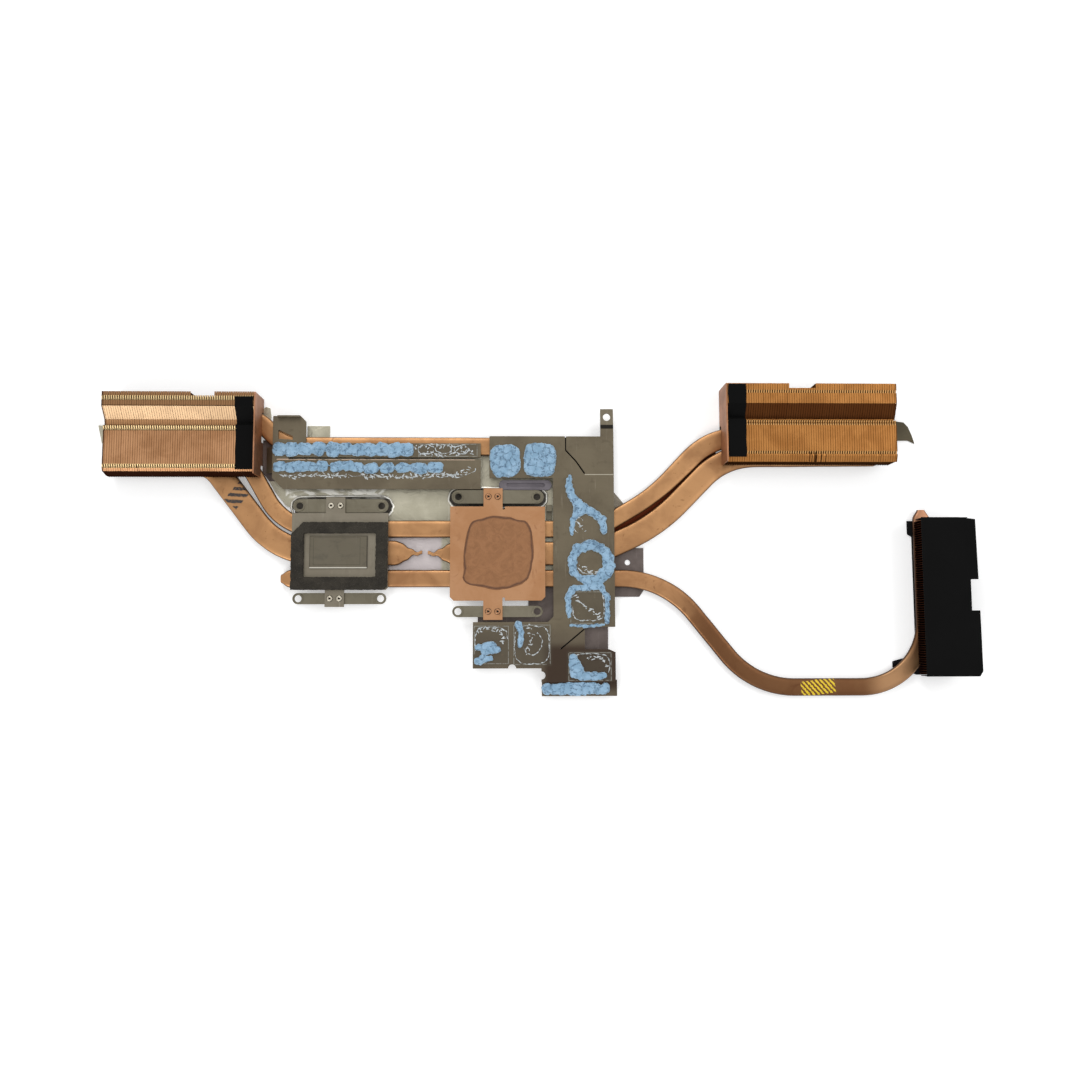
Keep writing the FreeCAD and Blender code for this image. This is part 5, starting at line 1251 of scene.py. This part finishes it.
# The memory plate's: single dollops (x, y, half sizes, turn, height), then smeared lines (corners,
# widths, height), the ring among them
memoryDollops = [
    (-12.6, 34.4, 6.6, 7.2, 0.03, 1.2),
    (2.3, 35.0, 7.0, 7.6, -0.05, 1.25),
    (20.4, 13.4, 3.0, 2.6, 0.3, 1.1),
    (-19.6, -46.2, 3.6, 2.6, 0.2, 0.9),
    (-22.4, -51.0, 2.2, 1.8, 0.5, 0.9),
]
memoryLines = [
    ([(15.2, 27.6), (14.8, 23.6), (16.0, 19.4), (20.4, 13.4)], [1.4, 2.6, 3.2, 4.0], 0.95),
    ([(19.0, 13.0), (16.4, 8.6), (15.8, 2.4)], [2.8, 2.2, 1.2], 0.8),
    ([(21.6, 13.0), (25.6, 11.8), (29.2, 9.0), (30.0, 2.8)], [3.2, 3.0, 2.8, 2.0], 1.0),
    (
        arcLine(24.0, -9.7, 8.4, 7.8, 50, 408, steps=9),
        [3.0, 3.8, 4.0, 3.6, 2.8, 2.8, 4.0, 5.0, 4.6, 3.4],
        1.0,
    ),
    (
        [(14.6, -33.0), (14.2, -24.6), (16.6, -20.6), (28.2, -20.2), (31.2, -24.6), (31.0, -35.4)],
        [1.4, 2.4, 2.2, 2.4, 2.2, 1.4],
        0.85,
    ),
    ([(15.2, -36.6), (22.0, -37.0), (30.0, -36.4)], [1.0, 1.2, 1.0], 0.6),
    ([(-6.6, -36.6), (-5.8, -40.0), (-6.4, -45.6)], [3.4, 2.4, 2.0], 0.9),
    ([(-24.6, -45.6), (-19.6, -46.2), (-14.6, -46.8)], [2.2, 3.0, 2.4], 0.9),
    ([(-24.4, -51.4), (-18.0, -50.6)], [2.4, 2.2], 0.9),
    ([(16.4, -50.2), (17.4, -54.4), (17.8, -58.6)], [3.2, 5.0, 5.4], 1.1),
    ([(18.4, -57.6), (24.6, -58.2), (30.4, -58.0)], [4.0, 3.0, 2.4], 1.0),
]
for seed, (points, widths, high) in enumerate(memoryLines, 1):
    memoryDollops += chain(points, widths, high, seed)
puttyPiece("memoryPutty", "memory_putty", puttyLevel, memoryDollops)

railDollops = chain([(5.2, -63.6), (18.0, -63.4), (32.4, -63.6)], [4.6, 5.0, 4.6], 1.05, 13, 0.6)
puttyPiece("railPutty", "rail_putty", railLevel, railDollops)


def rimTree(graph, source, sizes):
    # thin lines of scraped putty: flattened beads along drawn loops
    line = graph.node("GeometryNodeMeshToCurve", {"Mesh": source})
    spacing = {"Curve": line, "Length": sizes["step"]}
    line = graph.node("GeometryNodeResampleCurve", spacing, mode="LENGTH")
    spot = graph.here()
    wave = graph.node("ShaderNodeTexNoise", {"Vector": spot, "Scale": 700.0, "Detail": 3.0})
    jitter = graph.node("ShaderNodeTexNoise", {"Vector": spot, "Scale": 450.0, "Detail": 2.0}, 1)
    across, ahead = graph.parts(jitter)[:2]
    shift = graph.vector((across - 0.5) * sizes["wave"], (ahead - 0.5) * sizes["wave"], 0.0)
    line = graph.moved(line, "Offset", shift)
    thick = graph.step(wave, 0.42, 0.62, 0.12, 1.0)
    line = graph.node("GeometryNodeSetCurveRadius", {"Curve": line, "Radius": thick})
    return graph.bead(line, 8, sizes["thick"], **{"Fill Caps": True, "Scale": thick})


def fleckTree(graph, source, sizes):
    # small flat crumbs thrown about a few drawn lines
    line = graph.node("GeometryNodeMeshToCurve", {"Mesh": source})
    spacing = {"Curve": line, "Length": sizes["gap"]}
    points = graph.node("GeometryNodeCurveToPoints", spacing, mode="LENGTH")
    throw = graph.wild((-1.0, -1.0, 0.0), (1.0, 1.0, 0.0), sizes["seed"])
    shift = graph.vectorMath("SCALE", {0: throw, "Scale": sizes["reach"]})
    turn = graph.wild((0.0, 0.0, -1.2), (0.0, 0.0, 1.2), sizes["seed"] + 1)
    grow = graph.wild((0.4, 0.25, 0.3), (2.2, 0.7, 1.0), sizes["seed"] + 2)
    ball = {"Radius": sizes["radius"], "Subdivisions": 2}
    crumb = graph.node("GeometryNodeMeshIcoSphere", ball)
    x, y, z = graph.parts(graph.here())
    crumb = graph.moved(crumb, "Position", graph.vector(x, y, z.math("MAXIMUM", 0.0) * 0.4))
    return graph.copies(graph.moved(points, "Offset", shift), crumb, Rotation=turn, Scale=grow)


# Scraped rims: x, y, half sizes, from and to in degrees, squareness
rimArcs = [
    (-47.0, 39.4, 3.6, 2.0, 20, 350),
    (-39.4, 39.6, 3.4, 2.0, 150, 470),
    (-31.6, 39.4, 3.2, 1.9, 60, 390),
    (-34.6, 31.6, 9.0, 3.2, 190, 350, 3.0),
    (-18.6, -44.8, 6.8, 7.4, 20, 200, 4.0),
    (-1.2, -44.8, 7.4, 8.0, 0, 360, 4.0),
    (-1.0, -44.0, 4.0, 5.0, 200, 420),
    (23.6, -54.0, 8.4, 5.4, 330, 500, 3.0),
    (23.0, -28.4, 6.8, 6.2, 180, 400, 4.0),
    (23.8, -9.8, 5.6, 4.8, 200, 330),
    (19.0, 6.6, 2.2, 3.2, 30, 260),
]
rimArcs += [(-71.4 + 6.3 * i, 28.4, 2.9, 1.2, 195, 345) for i in range(7)]
rimArcs += [(-106.5 + 7.4 * i, 28.6, 3.4, 0.9, 190, 350) for i in range(5)]
rimSizes = {"step": 0.3, "wave": 1.5, "thick": 0.28}
rimShape = lineObject("rimLines", [arcLine(*arc) for arc in rimArcs], puttyLevel + 0.02)
settle(growPiece("puttyRims", rimShape, rimTree, "puttySmear", inMetres(rimSizes)), "putty")

fleckLines = [
    [(-52.0, 40.6), (-43.0, 40.8), (-30.0, 40.2), (-27.0, 38.0)],
    [(-50.0, 37.6), (-38.0, 37.4), (-30.0, 37.8)],
    [(-108.0, 27.2), (-96.0, 28.2), (-80.0, 27.6)],
    [(-74.0, 27.6), (-60.0, 27.4), (-46.0, 27.8), (-33.0, 28.6), (-28.0, 31.0)],
    [(17.6, 8.4), (20.0, 5.8), (21.6, 4.6)],
    [(20.0, -11.8), (25.0, -13.6), (27.0, -14.4)],
    [(17.0, -24.0), (22.0, -29.0), (28.0, -33.0)],
    [(-24.0, -38.6), (-14.0, -38.0), (-13.0, -44.0)],
    [(-2.0, -37.0), (-0.8, -44.0), (-4.0, -49.0)],
    [(22.0, -50.6), (29.0, -50.8), (31.0, -54.0)],
]
fleckSizes = {"gap": 0.75 * mm, "reach": 1.0 * mm, "radius": 0.5 * mm, "seed": 6}
fleckShape = lineObject("fleckLines", fleckLines, puttyLevel)
settle(growPiece("puttyFlecks", fleckShape, fleckTree, "puttySmear", fleckSizes), "putty")
print("putty made")


def loopOf(node, level):
    # the corners of a flat patch, in order round its middle
    corners = [v.co for v in nodes[node].data.vertices if abs(v.co.z - level * mm) < 0.01 * mm]
    middle = sum((Vector((c.x, c.y, 0)) for c in corners), Vector()) / len(corners)
    corners = sorted(corners, key=lambda c: math.atan2(c.y - middle.y, c.x - middle.x))
    loop = [Vector((c.x, c.y, 0)) for c in corners]
    return [c for i, c in enumerate(loop) if (c - loop[i - 1]).length > 0.05 * mm], middle


def roundedLoop(loop, turns):
    # cuts each corner until the outline runs smoothly
    for turn in range(turns):
        pairs = zip(loop, loop[1:] + loop[:1])
        loop = [corner.lerp(following, part) for corner, following in pairs for part in (0.25, 0.75)]
    return loop


pasteSizes = {
    "level": 5.0,
    "rounds": 2,
    "rings": [1.0, 0.99, 0.975, 0.96, 0.945, 0.93, 0.91, 0.89, 0.86, 0.82, 0.76, 0.68, 0.58, 0.46, 0.34]
    + [0.2, 0.08],
    "wobble": 0.35,
    "wobbleGrain": 3.0,
    "thick": 0.16,
    "edge": 0.3,
    "ridge": 0.14,
    "ridgeInset": 0.55,
    "ridgeWander": 0.5,
    "ridgeGrain": 5.0,
    "ridgeHalf": (0.48, 0.4),
    "rough": 0.04,
    "roughGrain": 1.5,
}


def pastePiece(sizes):
    # a film with a squeezed-out ridge along its edge; the rim attribute darkens the ridge
    corners, middle = loopOf("gpu_paste", sizes["level"])
    loop = roundedLoop(corners, sizes["rounds"])
    count, rings = len(loop), len(sizes["rings"])
    points, rims = [], []
    halfLeast, halfMore = sizes["ridgeHalf"]
    for part in sizes["rings"]:
        for corner in loop:
            away = corner - middle
            wave = noise.noise(corner / (sizes["wobbleGrain"] * mm)) * sizes["wobble"] * mm
            spot = middle + away * part + away.normalized() * wave * part
            inward = away.length * (1.0 - part) / mm
            drift = noise.noise(corner / (sizes["ridgeGrain"] * mm) + Vector((4, 0, 0)))
            wander = sizes["ridgeInset"] + sizes["ridgeWander"] * drift
            ridge = max(0.0, 1.0 - abs(inward - wander) / (halfLeast + halfMore * wander))
            swell = min(1.0, inward / sizes["edge"])
            lift = sizes["thick"] * swell + sizes["ridge"] * ridge
            lift += sizes["rough"] * noise.noise(spot / (sizes["roughGrain"] * mm)) * swell
            points.append((spot.x / mm, spot.y / mm, sizes["level"] + max(0.0, lift)))
            rims.append(ridge)
    faces = []
    for a in range(0, (rings - 1) * count, count):
        b = a + count
        for i in range(count):
            j = (i + 1) % count
            faces.append((a + i, a + j, b + j, b + i))
    faces.append([(rings - 1) * count + i for i in range(count)])
    faces.append(list(reversed(range(count))))
    made = meshObject("pasteFilm", points, faces)
    made.data.attributes.new("rim", "FLOAT", "POINT").data.foreach_set("value", rims)
    made.data.polygons.foreach_set("use_smooth", [True] * len(faces))
    return coat(made, materials["paste"])


settle(pastePiece(pasteSizes), "paste", "gpu_paste")

foamSizes = {"voxel": 0.3, "smooth": 2, "layers": [(1.2, 0.22, 5.0), (0.5, 0.12, 8.0)]}
foamNode = "cpu_foam_gasket"
foam = linked(foamNode + "Rough", nodes[foamNode].data.copy())
foam = skinned(foam, foamNode + ".soft", foamSizes["voxel"], foamSizes["smooth"])
lump(foam, foamSizes["layers"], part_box(foamNode)[0].z)
settle(coat(foam, materials["foam"]), "foam", foamNode)

# Strips of black film over each rear stack's first fins: height along the strip, from the rear
tapes = {
    "left_tape": [(59.9, 15.66), (55.7, 15.66), (50.7, 11.85), (48.8, 11.45), (48.2, 13.2), (45.6, 12.95)]
    + [(29.2, 12.9)],
    "right_tape": [(66.2, 15.62), (57.8, 15.66), (51.8, 12.5), (51.5, 12.6), (51.0, 14.75), (50.0, 14.62)]
    + [(37.6, 14.55), (34.8, 14.2)],
}
tapeSizes = {"columns": 10, "rows": 60, "thick": 0.12, "inset": 0.28, "edge": 0.26, "ripple": 0.05}


def tapePiece(node, line, sizes):
    # the long edges wander a little, and the film ripples between the folds
    low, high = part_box(node)
    rear, front = line[0][0], line[-1][0]
    columns, rows = sizes["columns"], sizes["rows"]
    middle, half = (low.x + high.x) / 2 / mm, (high.x - low.x) / 2 / mm
    points, faces = [], []
    for i in range(rows + 1):
        y = rear + (front - rear) * i / rows
        for j in range(columns + 1):
            part = 2 * j / columns - 1
            wander = noise.noise(Vector((y / 5.0, 3.0 * (part > 0), 8.0))) * sizes["edge"]
            x = middle + part * (half - sizes["inset"] + wander * abs(part))
            ripple = noise.noise(Vector((x / 3.0, y / 3.0, 5.0))) * sizes["ripple"]
            points.append((x, y, heightAt(line, y) + ripple))
            if i < rows and j < columns:
                a, b = len(points) - 1, len(points) + columns
                faces.append((a, b, b + 1, a + 1))
    piece = meshObject(node + ".film", points, faces)
    shell = piece.modifiers.new("thickness", "SOLIDIFY")
    shell.thickness = sizes["thick"] * mm
    shell.offset = -1.0
    return settle(coat(piece, materials["blackFilm"]), "black_film", node)


for node, line in tapes.items():
    tapePiece(node, line, tapeSizes)
settle(coat(easedCopy("side_film", 0.05), materials["blackFilm"]), "black_film", "side_film")
print("paste, foam, tapes and film made")


# Side stack: plain folded fins under the film

sideStack = {
    "inner": 165.5,
    "outer": 185.0,
    "top": 12.75,
    "foot": 3.55,
    "leg": 173.5,
    "pitch": 1.0,
    "gap": 0.16,
    "thin": 0.2,
    "start": 8.0,
    "count": 66,
    "notch": {"notchFrom": 0.0, "notchTo": 0.0, "notchDeep": 0.0},
    "seed": 2,
    "sway": (0.004, 0.0001, 0.0004),
}


def channelRibbons(side):
    # each fin is a channel: a web with a fold along its top and its bottom
    x0, x1, top, foot, leg = [side[key] for key in ("inner", "outer", "top", "foot", "leg")]
    thin, reach, webEnd = side["thin"], side["pitch"] - side["gap"], foldSizes["webEnd"]
    web = [(x0, foot), (x0, top), (x1, top), (x1, webEnd), (leg, webEnd), (leg, foot)]
    ribbons = [(web, 0.0, -thin)]
    for low in (top - thin, foot):
        high = low + thin
        ribbons.append(([(x0, low), (x0, high), (x1, high), (x1, low)], 0.0, -reach))
    return ribbons


growStack("side", sideStack, channelRibbons(sideStack), alongX=False)
print("side stack made")


# Camera, floor and light

view = {
    "from": Vector((-9.3, -40.0, 435.0)),
    "at": Vector((2.3, 0.0, 5.0)),
    "focus": 1005.0,
    "frameSide": 1080.0,
    "sensor": 36.0,
    "clip": (0.01, 20.0),
}
forward = (view["at"] - view["from"]).normalized()
right = (Vector((1, 0, 0)) - forward * forward.x).normalized()
turn = Matrix((right, right.cross(forward), -forward)).transposed().to_4x4()
lens = bpy.data.cameras.new("camera")
lens.sensor_width = view["sensor"]
lens.lens = view["sensor"] * view["focus"] / view["frameSide"]
lens.clip_start, lens.clip_end = view["clip"]
camera = linked("camera", lens)
camera.matrix_world = Matrix.Translation(view["from"] * mm) @ turn
scene.camera = camera

stageSizes = {"floor": 4000.0, "drop": 0.02, "glow": 0.30, "world": 0.55}
floorTones = (0.86, 0.86, 0.86, 1), (0.9, 0.9, 0.9, 1)


def seenDirectly(graph):
    # 1 for rays from the camera, and for those that gloss and glass send on
    rays = graph.node("ShaderNodeLightPath").socket.node.outputs
    total = Wire(graph, rays["Is Camera Ray"]) + Wire(graph, rays["Is Glossy Ray"])
    return (total + Wire(graph, rays["Is Transmission Ray"])).math("MINIMUM", 1.0)


def floorMaterial():
    material = bpy.data.materials.new("paleFloor")
    graph = clearGraph(material)
    grain = {0: graph.cloud(3.0, 3.0, 0.5), 6: floorTones[0], 7: floorTones[1]}
    pale = graph.node("ShaderNodeMix", grain, 2, data_type="RGBA")
    matte = graph.node("ShaderNodeBsdfDiffuse", {"Color": pale})
    # far from the lamps the floor glows by itself, so that it stays white to its edge
    x, y, z = graph.spot()
    far = graph.step((x * x + y * y).math("SQRT"), 0.4, 1.4)
    level = stageSizes["glow"] + far * (1.0 - stageSizes["glow"])
    glow = graph.node("ShaderNodeEmission", {"Strength": seenDirectly(graph) * level})
    both = graph.node("ShaderNodeAddShader", {0: matte, 1: glow})
    graph.node("ShaderNodeOutputMaterial", {"Surface": both})
    return material


half, below = stageSizes["floor"] / 2, -stageSizes["drop"]
corners = [(-half, -half, below), (half, -half, below), (half, half, below), (-half, half, below)]
floor = meshObject("floor", corners, [(0, 1, 2, 3)])
coat(floor, floorMaterial())
floor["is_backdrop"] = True

world = bpy.data.worlds.new("studio")
graph = clearGraph(world)
level = stageSizes["world"]
sky = {"Color": (1, 1, 1, 1), "Strength": seenDirectly(graph) * (1.0 - level) + level}
graph.node("ShaderNodeOutputWorld", {"Surface": graph.node("ShaderNodeBackground", sky)})
scene.world = world

lamps = {
    "keyLight": {"from": (-430, -660, 500), "side": 380, "power": 3.2},
    "rearLight": {"from": (-180, 900, 620), "side": 600, "power": 5.0},
    "fillLight": {"from": (760, 120, 620), "side": 500, "power": 2.6},
}
for name, lamp in lamps.items():
    data = bpy.data.lights.new(name, "AREA")
    data.size = lamp["side"] * mm
    data.energy = lamp["power"]
    light = linked(name, data)
    light.location = Vector(lamp["from"]) * mm
    light.rotation_euler = (-light.location).to_track_quat("-Z", "Y").to_euler()
scene.view_settings.view_transform = "Standard"
print("camera, floor and light set")

low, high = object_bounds()
